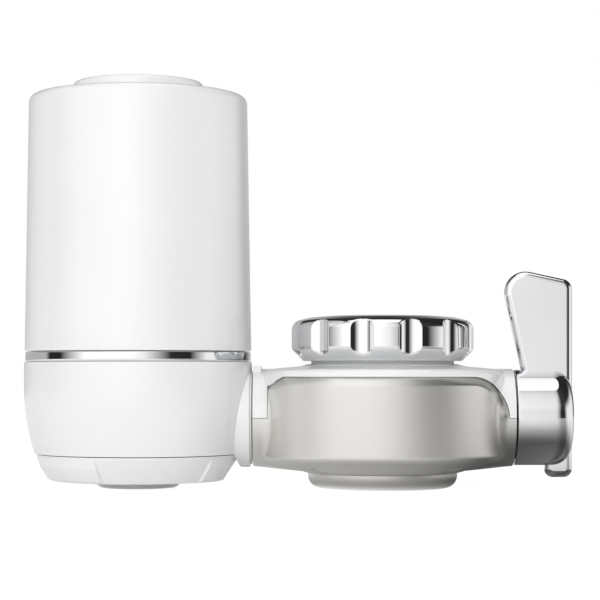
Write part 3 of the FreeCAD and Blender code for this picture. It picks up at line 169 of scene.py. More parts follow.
def moulded_skin():
    """Surface of a handled moulding: fine grain, broad waviness and a few rubbed patches.

    Height is waviness plus a share of grain, and Rub runs from 0 to 1 where hands and cloths have
    polished it, as the waviness goes from its first to its second limit.
    """
    group, given, out = shader_group(
        "moulded skin", [("Grain Scale", 900.0), ("Rub Scale", 30.0)],
        [("Height", "NodeSocketFloat"), ("Rub", "NodeSocketFloat")])
    nodes_, links = group.nodes, group.links
    place = nodes_.new("ShaderNodeTexCoord")
    grain = nodes_.new("ShaderNodeTexNoise")
    grain.inputs["Detail"].default_value = 3
    wave = nodes_.new("ShaderNodeTexNoise")
    wave.inputs["Detail"].default_value = 1
    patch = nodes_.new("ShaderNodeMapRange")
    patch.inputs["From Min"].default_value = RUB_FROM
    patch.inputs["From Max"].default_value = RUB_FULL
    mix = nodes_.new("ShaderNodeMath")
    mix.operation = "MULTIPLY_ADD"
    mix.inputs[1].default_value = GRAIN_SHARE
    links.new(place.outputs["Object"], grain.inputs["Vector"])
    links.new(place.outputs["Object"], wave.inputs["Vector"])
    links.new(given.outputs["Grain Scale"], grain.inputs["Scale"])
    links.new(given.outputs["Rub Scale"], wave.inputs["Scale"])
    links.new(wave.outputs["Fac"], patch.inputs["Value"])
    links.new(grain.outputs["Fac"], mix.inputs[0])
    links.new(wave.outputs["Fac"], mix.inputs[2])
    links.new(mix.outputs[0], out.inputs["Height"])
    links.new(patch.outputs["Result"], out.inputs["Rub"])
    return group


def moulded(name, colour, rubbed_colour, roughness, rubbed_roughness, metallic=0.0, coat=0.0,
            grain_scale=900.0, rub_scale=30.0, bump=0.02):
    """A finish on the moulded skin: colour and roughness move towards their rubbed values."""
    finish = bpy.data.materials.new(name)
    finish.use_nodes = True
    tree = finish.node_tree
    shader = tree.nodes["Principled BSDF"]
    shader.inputs["Metallic"].default_value = metallic
    shader.inputs["Coat Weight"].default_value = coat
    shader.inputs["Coat Roughness"].default_value = COAT_ROUGHNESS
    skin = tree.nodes.new("ShaderNodeGroup")
    skin.node_tree = SKIN
    skin.inputs["Grain Scale"].default_value = grain_scale
    skin.inputs["Rub Scale"].default_value = rub_scale
    tint = tree.nodes.new("ShaderNodeMix")
    tint.data_type = "RGBA"
    tint.inputs["A"].default_value = (*colour, 1)
    tint.inputs["B"].default_value = (*rubbed_colour, 1)
    gloss = tree.nodes.new("ShaderNodeMapRange")
    gloss.inputs["To Min"].default_value = roughness
    gloss.inputs["To Max"].default_value = rubbed_roughness
    relief = tree.nodes.new("ShaderNodeBump")
    relief.inputs["Strength"].default_value = bump
    relief.inputs["Distance"].default_value = RELIEF_DEPTH
    tree.links.new(skin.outputs["Rub"], tint.inputs["Factor"])
    tree.links.new(skin.outputs["Rub"], gloss.inputs["Value"])
    tree.links.new(skin.outputs["Height"], relief.inputs["Height"])
    tree.links.new(tint.outputs["Result"], shader.inputs["Base Color"])
    tree.links.new(gloss.outputs["Result"], shader.inputs["Roughness"])
    tree.links.new(relief.outputs["Normal"], shader.inputs["Normal"])
    return finish


def dressed(piece, finish, body="unit", replaced=()):
    """The piece gets its finish, rides on its body and stands for the CAD nodes named."""
    piece.data.materials.clear()
    piece.data.materials.append(finish)
    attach(piece, body)
    if replaced:
        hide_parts(*replaced)
    return piece


SKIN = moulded_skin()
WHITE = moulded("gloss white plastic", (0.86, 0.865, 0.87), (0.88, 0.885, 0.885), 0.24, 0.19,
                coat=0.35, grain_scale=1400.0, rub_scale=22.0, bump=0.015)

cover_shell = rounded([
    (32.6, 41.9, 0.2), (34.8, 41.9, 0.35), (33.5, 120.4, 2.3), (20.0, 120.4, 0.4),
    (20.0, 124.6, 1.2), (0.0, 124.6, 0), (0.0, 122.0, 0), (17.5, 122.0, 0.6), (17.5, 117.8, 0.4),
    (31.0, 117.8, 1.2), (32.3, 51.2, 0.2), (32.6, 51.2, 0.1)])
cover_boss = rounded([(6.6, 113.6, 0.3), (8.6, 113.6, 0.3), (8.6, 123.2, 0), (6.6, 123.2, 0)])
cover = piece_from("housing_cover", *joined(
    turned(evenly(cover_shell, 3.0), 360, (HOUSING_X, 0)), turned(cover_boss, 96, (HOUSING_X, 0))))
dressed(cover, WHITE, "cover", ("top_cover",))

# Chrome band: a thin plated ring that lies on the bowl's top and closes the joint under
# the cover.
CHROME = moulded("bright chrome plating", (0.86, 0.865, 0.875), (0.82, 0.825, 0.83), 0.035, 0.07,
                 metallic=1.0, grain_scale=500.0, rub_scale=45.0, bump=0.006)
band_outline = rounded([
    (32.4, 38.72, 0.1), (34.6, 38.72, 0.35), (34.6, 41.68, 0.35), (32.4, 41.68, 0.1)])
band = piece_from("trim_band", *turned(evenly(band_outline, 0.7), 360, (HOUSING_X, 0)))
dressed(band, CHROME, "unit", ("trim_ring",))

# Base bowl: the white bowl under the band, with a short round collar towards the diverter.
# Bowl, neck, collar and the socket for the cartridge are one moulding.
BOWL_FOOT, BOWL_SHOULDER = 10.6, 30.0
BOWL_RADIUS, BOWL_DRAWN_IN = 35.0, 3.1
BOWL_SUNK = 1.0
CAP_ROOM = 31.7
VALVE_HEIGHT = 21.5
COLLAR_RADIUS, COLLAR_REACH = 15.3, 35.2
COLLAR_CHAMFER, COLLAR_EDGE = 0.8, 0.35
COLLAR_BORE, COLLAR_BORE_FLOOR = 9.5, 33.0


def bowl_radius(height):
    """Outer radius of the bowl: the shoulder's, less 3.1 times the square of the share of the way down.

    That share is 0 at the shoulder and above, and 1 at the foot.
    """
    down = np.clip((BOWL_SHOULDER - height) / (BOWL_SHOULDER - BOWL_FOOT), 0, 1)
    return BOWL_RADIUS - BOWL_DRAWN_IN * down ** 2


bowl_side = [(bowl_radius(height), height, 0) for height in np.linspace(BOWL_FOOT, BOWL_SHOULDER, 24)]
bowl_outline = rounded([
    (9.2, 13.4, 0.5), (9.2, 19.0, 0.4), (6.8, 19.0, 0.3), (6.8, 7.6, 0), (4.0, 7.6, 0),
    (4.0, 4.5, 0.3), (7.4, 4.5, 0.5), (7.4, 10.6, 0.3), *bowl_side, (35.0, 38.65, 0.3),
    (32.3, 38.65, 0), (32.3, 45.85, 0), (30.98, 45.85, 0), (30.98, 48.15, 0), (32.3, 48.15, 0),
    (32.3, 50.2, 0.3), (30.1, 50.2, 0.3), (30.1, 36.5, 0.6), (32.4, 30.0, 1.0), (28.3, 13.4, 2.0)])


def collar_shell(steps=160):
    """The collar: rings round the valve's axis, the first one sunk into the bowl's wall.

    A ring is (x, cos a, sin a) times its radius. The sunk ring's x is the place where that
    line along the collar meets a bowl one millimetre smaller, or the cap's room below the bowl.
    The last rings go back inside along the bore.
    """
    angle = np.linspace(0, 2 * math.pi, steps, endpoint=False)
    across, up = np.cos(angle), np.sin(angle)
    height = VALVE_HEIGHT + COLLAR_RADIUS * up
    wall = np.where(height > BOWL_FOOT, bowl_radius(height) - BOWL_SUNK, CAP_ROOM)
    sunk = np.sqrt(np.maximum(wall ** 2 - (COLLAR_RADIUS * across) ** 2, 1.0))
    round_steps = np.linspace(0, math.pi / 2, 5)
    reach = np.concatenate([[COLLAR_REACH - COLLAR_CHAMFER],
                            COLLAR_REACH - COLLAR_EDGE + COLLAR_EDGE * np.sin(round_steps),
                            [COLLAR_REACH, COLLAR_BORE_FLOOR]])
    edge = COLLAR_RADIUS - COLLAR_CHAMFER + COLLAR_EDGE * np.cos(round_steps) - COLLAR_EDGE
    radius = np.concatenate([[COLLAR_RADIUS], edge, [COLLAR_BORE, COLLAR_BORE]])
    rows = [np.stack([sunk, COLLAR_RADIUS * across, height], -1)]
    for x, r in zip(reach, radius):
        rows.append(np.stack([x + 0 * angle, r * across, VALVE_HEIGHT + r * up], -1))
    rows.append(np.stack([np.minimum(sunk, COLLAR_BORE_FLOOR), COLLAR_BORE * across,
                          VALVE_HEIGHT + COLLAR_BORE * up], -1))
    grid = np.stack(rows)
    grid[..., 0] += HOUSING_X
    return grid.reshape(-1, 3), sheet_faces(len(grid), steps)


bowl_skin = turned(evenly(bowl_outline, 2.0), 360, (HOUSING_X, 0))
base = piece_from("base_bowl", *joined(bowl_skin, collar_shell()))
dressed(base, WHITE, "unit", ("filter_base",))

# Lower cap: a shallow white dish that closes the bowl's underside, with three sunk panels
# in its rim that give the fingers a grip.
PANEL_CENTRES = np.radians(-90 + np.array([14.5, 104.5, 194.5]))
PANEL_HALF_ANGLES = (32.5, 34.5)
PANEL_LOW, PANEL_TOP, PANEL_LEDGE = 1.3, 9.8, 9.81
PANEL_LOW_RADIUS, PANEL_TOP_RADIUS = 25.5, 31.2
PANEL_STEP = 0.008
CAP_FOOT, CAP_TOP = 2.3, 10.35
CAP_PROFILE = np.array([(27.4, CAP_FOOT), (30.2, 6.6), (31.3, CAP_TOP)])
CAP_INSIDE = ((29.4, CAP_TOP), (28.4, 6.6), (24.6, 4.1), (9.3, 4.1), (9.3, CAP_FOOT))
FOOT_ROUND, FOOT_ROUND_TOP = 0.9, 3.3


def lower_cap(columns=60, rows=26):
    """The cap as rings from the inner wall, under the floor and up the outside.

    Each panel spans its centre plus or minus a half angle that widens upwards, and there the outer
    radius is cut back to a straight line between the panel's low and top radius. The foot's edge
    is set in by round * (1 - root(1 - depth^2)). Columns stand on both sides of a panel's step.
    """
    heights = np.concatenate([np.linspace(CAP_FOOT, PANEL_TOP, rows), [PANEL_LEDGE, CAP_TOP]])
    outer = np.interp(heights, CAP_PROFILE[:, 1], CAP_PROFILE[:, 0])
    foot = np.clip(FOOT_ROUND_TOP - heights, 0, 1)
    outer = outer - FOOT_ROUND * (1 - np.sqrt(np.maximum(1 - foot ** 2, 0)))
    rise = (PANEL_TOP_RADIUS - PANEL_LOW_RADIUS) * (heights - PANEL_LOW) / (PANEL_TOP - PANEL_LOW)
    panel = PANEL_LOW_RADIUS + rise
    panel = np.where(heights > PANEL_TOP, outer, np.minimum(panel, outer))
    half = np.radians(np.interp(heights, [PANEL_LOW, PANEL_TOP], PANEL_HALF_ANGLES))
    angle, sunk = [], []
    share = np.linspace(-1, 1, columns)
    ends = np.roll(PANEL_CENTRES, -1) + np.array([0, 0, 2 * math.pi])
    for centre, after in zip(PANEL_CENTRES, ends):
        angle.append(centre + half[:, None] * share)
        sunk.append(np.ones(columns))
        start, stop = centre + half[:, None] + PANEL_STEP, after - half[:, None] - PANEL_STEP
        angle.append(start + (stop - start) * (share[None, :] + 1) / 2)
        sunk.append(np.zeros(columns))
    angle = np.concatenate(angle, 1)
    sunk = np.concatenate(sunk)[None, :]
    radius = outer[:, None] + (panel - outer)[:, None] * sunk
    outside = np.stack([radius * np.cos(angle), radius * np.sin(angle),
                        heights[:, None] + 0 * angle], -1)
    nominal = angle[0]
    plain = [np.stack([r * np.cos(nominal), r * np.sin(nominal), z + 0 * nominal], -1)
             for r, z in CAP_INSIDE]
    grid = np.concatenate([np.stack(plain), outside])
    grid[..., 0] += HOUSING_X
    return grid.reshape(-1, 3), sheet_faces(grid.shape[0], grid.shape[1])


cap = piece_from("lower_cap", *lower_cap(), sharp=28)
dressed(cap, WHITE, "unit", ("base_bottom_cap",))

# Housing nozzle: a round white foot under the cap, through which the filtered water leaves.
nozzle_outline = rounded([
    (5.4, 0.0, 0.4), (13.0, 0.0, 2.0), (13.0, 2.2, 0.15), (8.75, 2.2, 0), (8.75, 8.6, 0.2),
    (7.45, 8.6, 0.2), (7.45, 1.6, 0), (5.4, 1.6, 0)])
nozzle = piece_from("housing_nozzle", *turned(evenly(nozzle_outline, 1.5), 160, (HOUSING_X, 0)))
dressed(nozzle, WHITE, "unit", ("outlet_nozzle",))

# Diverter case: a flat drum with two short round arms, the upper half white and the lower half one
# zinc casting plated in satin nickel, which steps up over the drum's front and back with a bevelled
# edge. Four screws in wells in its underside hold the halves together.
SATIN = moulded("satin nickel plating", (0.83, 0.815, 0.78), (0.86, 0.845, 0.81), 0.42, 0.37,
                metallic=1.0, grain_scale=2200.0, rub_scale=26.0, bump=0.03)
DRUM_PROFILE = [(0, 4.8, 0), (24.0, 4.8, 0.8), (37.5, 8.9, 2.4), (37.5, 36.0, 0)]
DRUM_WALL = 2.2
CORNERS_BELOW, CORNERS_BEYOND = 14, 20
ARM_RADIUS, ARM_END, ARM_END_WALL = 15.0, 39.8, 1.2
ARM_BORE, ARM_BORE_HALF = 12.75, 50.0
ARM_BLEND, BLEND_FADE = 5.0, 0.05
OUTLET_HOLE = 16.75
FACE_TOP = 34.0
FACE_LEFT, FACE_LEFT_TOP, FACE_LEFT_RUN = -35.2, 31.2, -30.4
FACE_ARC_X, FACE_ARC_RADIUS = 25.1, 12.5
BEVEL_WIDTH, BEVEL_DEPTH = 2.4, 1.0
BEVEL_FADE = 1.5
STEEP_FROM, STEEP_RUN = 15, 12
STEEP_END, STEEP_END_RUN = 33.5, 2.5
FACE_ROWS, FACE_COLUMNS, FACE_EVEN_SHARE = 40, 181, 0.65
END_COLUMNS, SIDE_COLUMNS = 25, 5
LOOP_TURNS = np.radians(np.concatenate([np.linspace(0, 84, 27), [86, 87.5, 88.6, 89.4]]))
WELL_SPOTS = [(x, y) for x in (-19.8, 19.8) for y in (-19.8, 19.8)]
WELL_RADIUS, WELL_TOP = 3.1, 9.6
WELL_WALL, WELL_BOSS_FOOT, WELL_BOSS_TOP = 1.0, 7.3, 12.0


def smooth_steps(value):
    """Zero to one, with level ends."""
    value = np.clip(value, 0, 1)
    return value * value * (3 - 2 * value)


def case_radius(angle, height, inset=0.0):
    """Distance from the drum's axis to the case's skin at an angle from the arms and at a height.

    The drum gives its profile's radius, and an arm the nearer of its end, e / cos a, and its side,
    w / sin a, where w is the half chord of the arm's circle at that height. The greater of the two
    gains k / 4 * (1 - gap / k)^2 where they are closer than k, which fades out towards the arm's end.
    """
    outline = rounded(DRUM_PROFILE)
    drum = np.interp(height - inset, outline[:, 1], outline[:, 0]) - inset
    arm = ARM_RADIUS - inset
    end = ARM_END - (ARM_END_WALL if inset else 0)
    half = np.sqrt(np.maximum(arm ** 2 - (height - VALVE_HEIGHT) ** 2, 0))
    across, along = np.abs(np.sin(angle)), np.abs(np.cos(angle))
    reach = np.minimum(end / np.maximum(along, 1e-6), half / np.maximum(across, 1e-6))
    past = (np.arctan2(across, along) - np.arctan2(half, end)) / BLEND_FADE
    blend = np.maximum(ARM_BLEND * smooth_steps(past) * (half > 0), 1e-6)
    near = np.maximum(1 - np.abs(drum - reach) / blend, 0)
    return np.maximum(drum, reach) + blend / 4 * near ** 2


def case_limit(across, height, side):
    """The angle from the arm at which the case's front skin reaches a place across the face.

    It is read off the skin's distance along the arm, taken at 1200 angles from 8 to 100 degrees.
    """
    angle = np.radians(np.linspace(8, 100, 1200))
    reach = case_radius(angle, height) * np.cos(angle)
    return float(np.interp(-side * across, -reach, angle))


def case_loop(height, shares, radius=None, inset=0.0):
    """One closed line round the case: arm's end, its side, the face, and so on round both arms.

    The angles of the face's ends narrow as the angle to the arm's corner does, atan(w / end),
    where w is the arm's half chord at that height.
    """
    half = math.sqrt(max(ARM_RADIUS ** 2 - (height - VALVE_HEIGHT) ** 2, 0))
    corner = math.atan2(half, ARM_END)
    widest = math.atan2(ARM_RADIUS, ARM_END)
    right = case_limit(FACE_ARC_X + FACE_ARC_RADIUS, VALVE_HEIGHT, 1) * corner / widest
    left = case_limit(FACE_LEFT, VALVE_HEIGHT, -1) * corner / widest
    end = np.linspace(-1, 1, END_COLUMNS)
    side = np.linspace(0, 1, SIDE_COLUMNS + 2)[1:-1]
    back = right + (math.pi - left - right) * shares
    angle = np.concatenate([
        end * corner, corner + (right - corner) * side, back, math.pi - left + (left - corner) * side,
        math.pi + end * corner, math.pi + corner + (left - corner) * side, -back[::-1] + 2 * math.pi,
        2 * math.pi - right + (right - corner) * side])
    reach = case_radius(angle, height, inset) if radius is None else radius + 0 * angle
    return np.stack([reach * np.cos(angle), reach * np.sin(angle), height + 0 * angle], -1)


def face_plate(shares, inset=0.0):
    """The skin of the part that stands up in front of the drum, row by row from the arms' middle.

    Its outline is a chamfered left edge, a level top and an arc on the right, and within the bevel's
    width of it the skin is set back by depth * (1 - distance / width), and up to three times that
    where the drum turns away to the sides.
    """
    grid = []
    for turn in np.linspace(0, math.pi / 2, FACE_ROWS):
        height = VALVE_HEIGHT + FACE_ARC_RADIUS * math.sin(turn)
        rightmost = FACE_ARC_X + FACE_ARC_RADIUS * math.cos(turn)
        leftmost = np.interp(height, [FACE_LEFT_TOP, FACE_TOP], [FACE_LEFT, FACE_LEFT_RUN])
        right, left = case_limit(rightmost, height, 1), case_limit(leftmost, height, -1)
        angle = right + (math.pi - left - right) * shares
        reach = case_radius(angle, height, inset)
        x, y = reach * np.cos(angle), -reach * np.sin(angle)
        slope = np.array([FACE_TOP - FACE_LEFT_TOP, FACE_LEFT - FACE_LEFT_RUN])
        slope /= np.linalg.norm(slope)
        inside = np.minimum(FACE_TOP - height,
                            (x - FACE_LEFT) * slope[0] + (height - FACE_LEFT_TOP) * slope[1])
        arc = FACE_ARC_RADIUS - np.hypot(x - FACE_ARC_X, height - VALVE_HEIGHT)
        inside = np.where(x > FACE_ARC_X, np.minimum(inside, arc), inside)
        steep = smooth_steps((np.abs(x) - STEEP_FROM) / STEEP_RUN)
        steep = steep * (1 - smooth_steps((np.abs(x) - STEEP_END) / STEEP_END_RUN))
        set_back = BEVEL_DEPTH * (1 + 2 * steep) * np.clip(1 - inside / BEVEL_WIDTH, 0, 1)
        set_back = set_back * smooth_steps((height - VALVE_HEIGHT) / BEVEL_FADE)
        y = y + (0 if inset else 1) * set_back
        grid.append(np.stack([x, y, height + 0 * x], -1))
    return np.stack(grid)


def case_shell():
    """The lower case as one closed skin: outside, floor and inside below, and the two plates above.

    A column's share of the way along the face is partly even and partly (1 - cos a) / 2, so that the
    columns close up towards its ends. Loops lie at the arm's turns and at the drum's lower corners.
    """
    packed = (1 - np.cos(np.linspace(0, math.pi, FACE_COLUMNS))) / 2
    shares = packed * (1 - FACE_EVEN_SHARE) + np.linspace(0, 1, FACE_COLUMNS) * FACE_EVEN_SHARE
    profile = rounded(DRUM_PROFILE)
    corners = profile[(profile[:, 1] < CORNERS_BELOW) & (profile[:, 0] > CORNERS_BEYOND)][:, 1]
    arm_loops = VALVE_HEIGHT - ARM_RADIUS * np.sin(LOOP_TURNS)
    outer = np.unique(np.concatenate([arm_loops, corners]))[::-1]
    arm_loops = VALVE_HEIGHT - (ARM_RADIUS - DRUM_WALL) * np.sin(LOOP_TURNS)
    inner = np.unique(np.concatenate([arm_loops, corners + DRUM_WALL]))
    loops = [case_loop(height, shares) for height in outer]
    loops += [case_loop(outer[-1], shares, OUTLET_HOLE), case_loop(inner[0], shares, OUTLET_HOLE)]
    loops += [case_loop(height, shares, inset=DRUM_WALL) for height in inner]
    below = np.stack(loops)
    columns = below.shape[1]
    shells = [(below.reshape(-1, 3), sheet_faces(len(below), columns, close_rows=False))]
    first = END_COLUMNS + SIDE_COLUMNS
    faces = np.zeros(columns, bool)
    faces[first:first + FACE_COLUMNS - 1] = True
    faces[-SIDE_COLUMNS - FACE_COLUMNS:-SIDE_COLUMNS - 1] = True
    rim = np.stack([below[-1], below[0]])
    shells.append((rim.reshape(-1, 3), sheet_faces(2, columns, close_rows=False)[~faces]))
    for mirror in (1, -1):
        plate = np.concatenate([face_plate(shares), face_plate(shares, DRUM_WALL)[::-1]])
        plate = plate * (1, mirror, 1)
        shells.append((plate.reshape(-1, 3), sheet_faces(len(plate), FACE_COLUMNS, False, False)))
        for column in (0, -1):
            side = np.stack([plate[:FACE_ROWS, column], plate[:FACE_ROWS - 1:-1, column]])
            shells.append((side.reshape(-1, 3), sheet_faces(2, FACE_ROWS, False, False)))
    return joined(*shells)


def cut_away(piece, cutter):
    """The piece less the cutter, which is then removed."""
    cut = piece.modifiers.new("cut", "BOOLEAN")
    cut.operation = "DIFFERENCE"
    cut.object = cutter
    cut.solver = "EXACT"
    shape = bpy.data.meshes.new_from_object(piece.evaluated_get(bpy.context.evaluated_depsgraph_get()))
    piece.modifiers.clear()
    piece.data = shape
    bpy.data.objects.remove(cutter)


def rod(radius, low, high, steps, centre, along="Z"):
    """A closed cylinder from its radius and its two ends along the axis."""
    outline = np.array([(0, low), (radius, low), (radius, high), (0, high)], float)
    return turned(outline[:, ::-1] if along == "X" else outline, steps, centre, along)


case = piece_from("lower_case", *case_shell(), sharp=30)
arm_bore = rod(ARM_BORE, -ARM_BORE_HALF, ARM_BORE_HALF, 96, (0, VALVE_HEIGHT), "X")
cut_away(case, piece_from("well_cutter", *joined(
    arm_bore, *[rod(WELL_RADIUS, 0.0, WELL_TOP, 48, spot) for spot in WELL_SPOTS])))
dressed(case, SATIN, "unit", ("lower_shell",))
nodes["outlet_ring"].data.materials.clear()
nodes["outlet_ring"].data.materials.append(SATIN)
for name in ("upper_casing", "spray_face"):
    nodes[name].data.materials.clear()
    nodes[name].data.materials.append(WHITE)

boss_outline = np.array([(WELL_RADIUS, WELL_BOSS_FOOT), (WELL_RADIUS + WELL_WALL, WELL_BOSS_FOOT),
                         (WELL_RADIUS + WELL_WALL, WELL_BOSS_TOP), (0, WELL_BOSS_TOP), (0, WELL_TOP),
                         (WELL_RADIUS, WELL_TOP)])
bosses = piece_from("screw_bosses", *joined(*[turned(boss_outline, 48, spot) for spot in WELL_SPOTS]))
dressed(bosses, SATIN, "unit")

# Mounting nut: a chromed brass ring nut that turns on the neck and draws the tap adapter down.
# Twelve upright flutes are cut into its flank for the grip, over a sloped foot and under a domed top.
NUT_OUTLINE = [
    (22.05, 38.9, 0.15), (24.6, 38.9, 0.6), (28.0, 42.3, 1.8), (28.0, 50.9, 3.2), (22.3, 52.3, 5.0),
    (15.2, 52.8, 0.25), (14.4, 52.0, 0.2), (14.4, 50.0, 0.1), (22.05, 50.0, 0.1)]
FLUTE_COUNT = 12
FLUTE_CIRCLE = 30.7
FLUTE_RADIUS = 4.55
FLUTE_BLEND = 0.16
FLUTED_FROM = 23.3
FLUTE_COLUMNS = np.concatenate([
    np.linspace(-1, -0.56, 7), np.linspace(-0.54, -0.38, 11), np.linspace(-0.35, 0.35, 15),
    np.linspace(0.38, 0.54, 11), np.linspace(0.56, 0.93, 6)])


def fluted_ring():
    """The nut's outline carried round its axis, cut back where a flute runs.

    A flute is an upright cylinder on the flute circle. Seen along a line at angle d from the flute its
    near side lies at c cos d less the root of r squared less (c sin d) squared, where c is the flute
    circle and r the flute's radius; below zero, the root of the negative is added instead. The
    surface is the smooth minimum of outline and flute, (a + b - root((a - b)^2 + blend^2)) / 2.
    The columns across a flute are in halves of its pitch, and closer at the flute's edges.
    """
    outline = evenly(rounded(NUT_OUTLINE, 7), 0.5)
    half = math.pi / FLUTE_COUNT
    across = FLUTE_COLUMNS * half
    centres = half + 2 * half * np.arange(FLUTE_COUNT)
    angle = (centres[:, None] + across[None, :]).reshape(-1)
    off = np.tile(across, FLUTE_COUNT)[None, :]
    plain, height = outline[:, :1], outline[:, 1:2]
    square = FLUTE_RADIUS ** 2 - (FLUTE_CIRCLE * np.sin(off)) ** 2
    cut = FLUTE_CIRCLE * np.cos(off) - np.sign(square) * np.sqrt(np.abs(square))
    both = (plain + cut - np.sqrt((plain - cut) ** 2 + FLUTE_BLEND ** 2)) / 2
    radius = np.where(plain > FLUTED_FROM, both, plain + 0 * off)
    grid = np.stack([radius * np.cos(angle), radius * np.sin(angle), height + 0 * radius], -1)
    return grid.reshape(-1, 3), sheet_faces(len(outline), len(angle))


nut = piece_from("fluted_nut", *fluted_ring(), sharp=50)
dressed(nut, CHROME, "nut", ("mounting_nut",))

# Lever: chromed zinc, cast in one piece. A round hub with a rounded end turns the valve's spindle,
# and a flat blade with rounded edges rises from it, with a short tail below. A plug closes the hub.
HUB_LEFT, HUB_END = 40.4, 57.9
HUB_RADIUS = 14.7
HUB_ROUND = 5.9
PLUG_WELL_RADIUS, PLUG_WELL_FLOOR = 5.25, 52.0
PLUG_RADIUS, PLUG_BACK = 5.2, 57.0
BLADE_CORNERS = [
    (43.6, 10.0, 0), (35.6, 47.0, 6.5), (58.4, 42.1, 3.2), (58.4, -18.4, 2.6), (49.9, -18.4, 2.6),
    (49.9, -10.0, 0), (46.0, 0.0, 0)]
BLADE_MIDDLE = (52.0, 15.0)
BLADE_HALF = 2.3
BLADE_EDGE = 2.0
BLADE_FACE_STEP = 0.08


def shrunk(corners, inset):
    """The corner list with every side moved inward: a corner moves by inset * (n1 + n2) / (1 + n1.n2).

    The unit normals n1 and n2 of its two sides point inward, and its round loses the inset.
    """
    spot = np.array([corner[:2] for corner in corners])
    side = np.roll(spot, -1, 0) - spot
    side /= np.linalg.norm(side, axis=1)[:, None]
    turn = np.sign(np.sum(spot[:, 0] * np.roll(spot[:, 1], -1) - spot[:, 1] * np.roll(spot[:, 0], -1)))
    normal = turn * np.stack([-side[:, 1], side[:, 0]], -1)
    before = np.roll(normal, 1, 0)
    moved = spot + inset * (normal + before) / (1 + np.sum(normal * before, 1))[:, None]
    return [(x, y, max(size - inset, 0.05) if size else 0)
            for (x, y), (_, _, size) in zip(moved, corners)]


def blade_slab():
    """Rings from the middle of one face, over its rounded edge, to the middle of the other.

    On the edge's quarter circle the inset is e (1 - cos t) and the depth is h - e + e sin t.
    """
    turn = np.linspace(0, math.pi / 2, 13)
    inset = np.append(BLADE_EDGE * (1 - np.cos(turn)), BLADE_EDGE + BLADE_FACE_STEP)
    depth = np.append(BLADE_HALF - BLADE_EDGE + BLADE_EDGE * np.sin(turn), BLADE_HALF)
    rings = [rounded(shrunk(BLADE_CORNERS, size), 12) for size in inset]
    middle = np.array(BLADE_MIDDLE)
    rings += [middle + (rings[-1] - middle) * share for share in (0.5, 0.0)]
    depth = np.concatenate([depth, [BLADE_HALF, BLADE_HALF]])
    front = np.stack([np.stack([ring[:, 0], 0 * ring[:, 0] - y, ring[:, 1]], -1)
                      for ring, y in zip(rings, depth)])
    back = front * (1, -1, 1)
    grid = np.concatenate([front[::-1], back])
    grid[..., 2] += VALVE_HEIGHT
    return grid.reshape(-1, 3), sheet_faces(grid.shape[0], grid.shape[1], close_rows=False)


hub_outline = rounded([
    (HUB_LEFT, 0, 0), (HUB_LEFT, HUB_RADIUS, 0.3), (HUB_END, HUB_RADIUS, HUB_ROUND),
    (HUB_END, PLUG_WELL_RADIUS, 0.2), (PLUG_WELL_FLOOR, PLUG_WELL_RADIUS, 0),
    (PLUG_WELL_FLOOR, 0, 0)], 22)
hub_grid = turned(evenly(hub_outline, 0.8), 200, (0, VALVE_HEIGHT), "X")
lever = piece_from("lever_handle", *joined(hub_grid, blade_slab()), sharp=18)
dressed(lever, CHROME, "lever", ("lever",))
plug_outline = rounded([(PLUG_BACK, 0, 0), (PLUG_BACK, PLUG_RADIUS, 0), (HUB_END, PLUG_RADIUS, 0.2),
                        (HUB_END, 0, 0)])
plug = piece_from("hub_plug", *turned(plug_outline, 120, (0, VALVE_HEIGHT), "X"))
dressed(plug, CHROME, "lever", ("lever_plug",))

# Inner pieces: seals, cartridge, valve and screws, seen only through openings or with the
# cover lifted.
INNER = moulded("plain moulded plastic", (0.72, 0.73, 0.73), (0.76, 0.77, 0.77), 0.45, 0.38)
RUBBER = moulded("black rubber", (0.02, 0.02, 0.02), (0.035, 0.035, 0.035), 0.6, 0.5)
STEEL = moulded("stainless steel", (0.6, 0.6, 0.61), (0.68, 0.68, 0.69), 0.3, 0.22, metallic=1.0)
CARBON = moulded("pressed carbon", (0.012, 0.012, 0.012), (0.03, 0.03, 0.03), 0.9, 0.8,
                 grain_scale=600.0, bump=0.6)
FLEECE = moulded("white fleece", (0.78, 0.78, 0.76), (0.7, 0.7, 0.68), 0.95, 0.9,
                 grain_scale=700.0, bump=0.5)
finish_of_slot = {"inner_plastic": INNER, "seal_rubber": RUBBER, "steel": STEEL,
                  "carbon_block": CARBON, "sleeve": FLEECE}
for part in frame["record"]["subparts"]:
    if part["material_slot"] in finish_of_slot:
        mesh = nodes[part["node"]].data
        mesh.materials.clear()
        mesh.materials.append(finish_of_slot[part["material_slot"]])

# Studio: a white floor and surround with soft lamps. Round the object hangs a glowing wall of pale and
# dark panels that only polished surfaces see, which paints their reflections, and the floor's glowing
# card does the same below, with painted shadow under the lever and round the outlet.
FLOOR_HEIGHT = -0.0443
FLOOR_HALF = 3
FLOOR_GLOW, FLOOR_GLOW_SHARE = 1.12, 0.86
WHITE_BACKDROP = 1.0
SURROUND_ON_OBJECT = 0.57


def background_rays(tree, ray_kinds=("Is Camera Ray", "Is Glossy Ray", "Is Transmission Ray")):
    """One where a ray is of any of the kinds named, else zero: the greatest of their flags."""
    path = tree.nodes.new("ShaderNodeLightPath")
    total = path.outputs[ray_kinds[0]]
    for kind in ray_kinds[1:]:
        either = tree.nodes.new("ShaderNodeMath")
        either.operation = "MAXIMUM"
        tree.links.new(total, either.inputs[0])
        tree.links.new(path.outputs[kind], either.inputs[1])
        total = either.outputs[0]
    return total


def stage_sheet(name, points, faces, finish):
    """A sheet of the studio, which isn't part of the object."""
    mesh = bpy.data.meshes.new(name)
    mesh.from_pydata(points, [], faces)
    mesh.materials.append(finish)
    sheet = bpy.data.objects.new(name, mesh)
    bpy.context.scene.collection.objects.link(sheet)
    return sheet


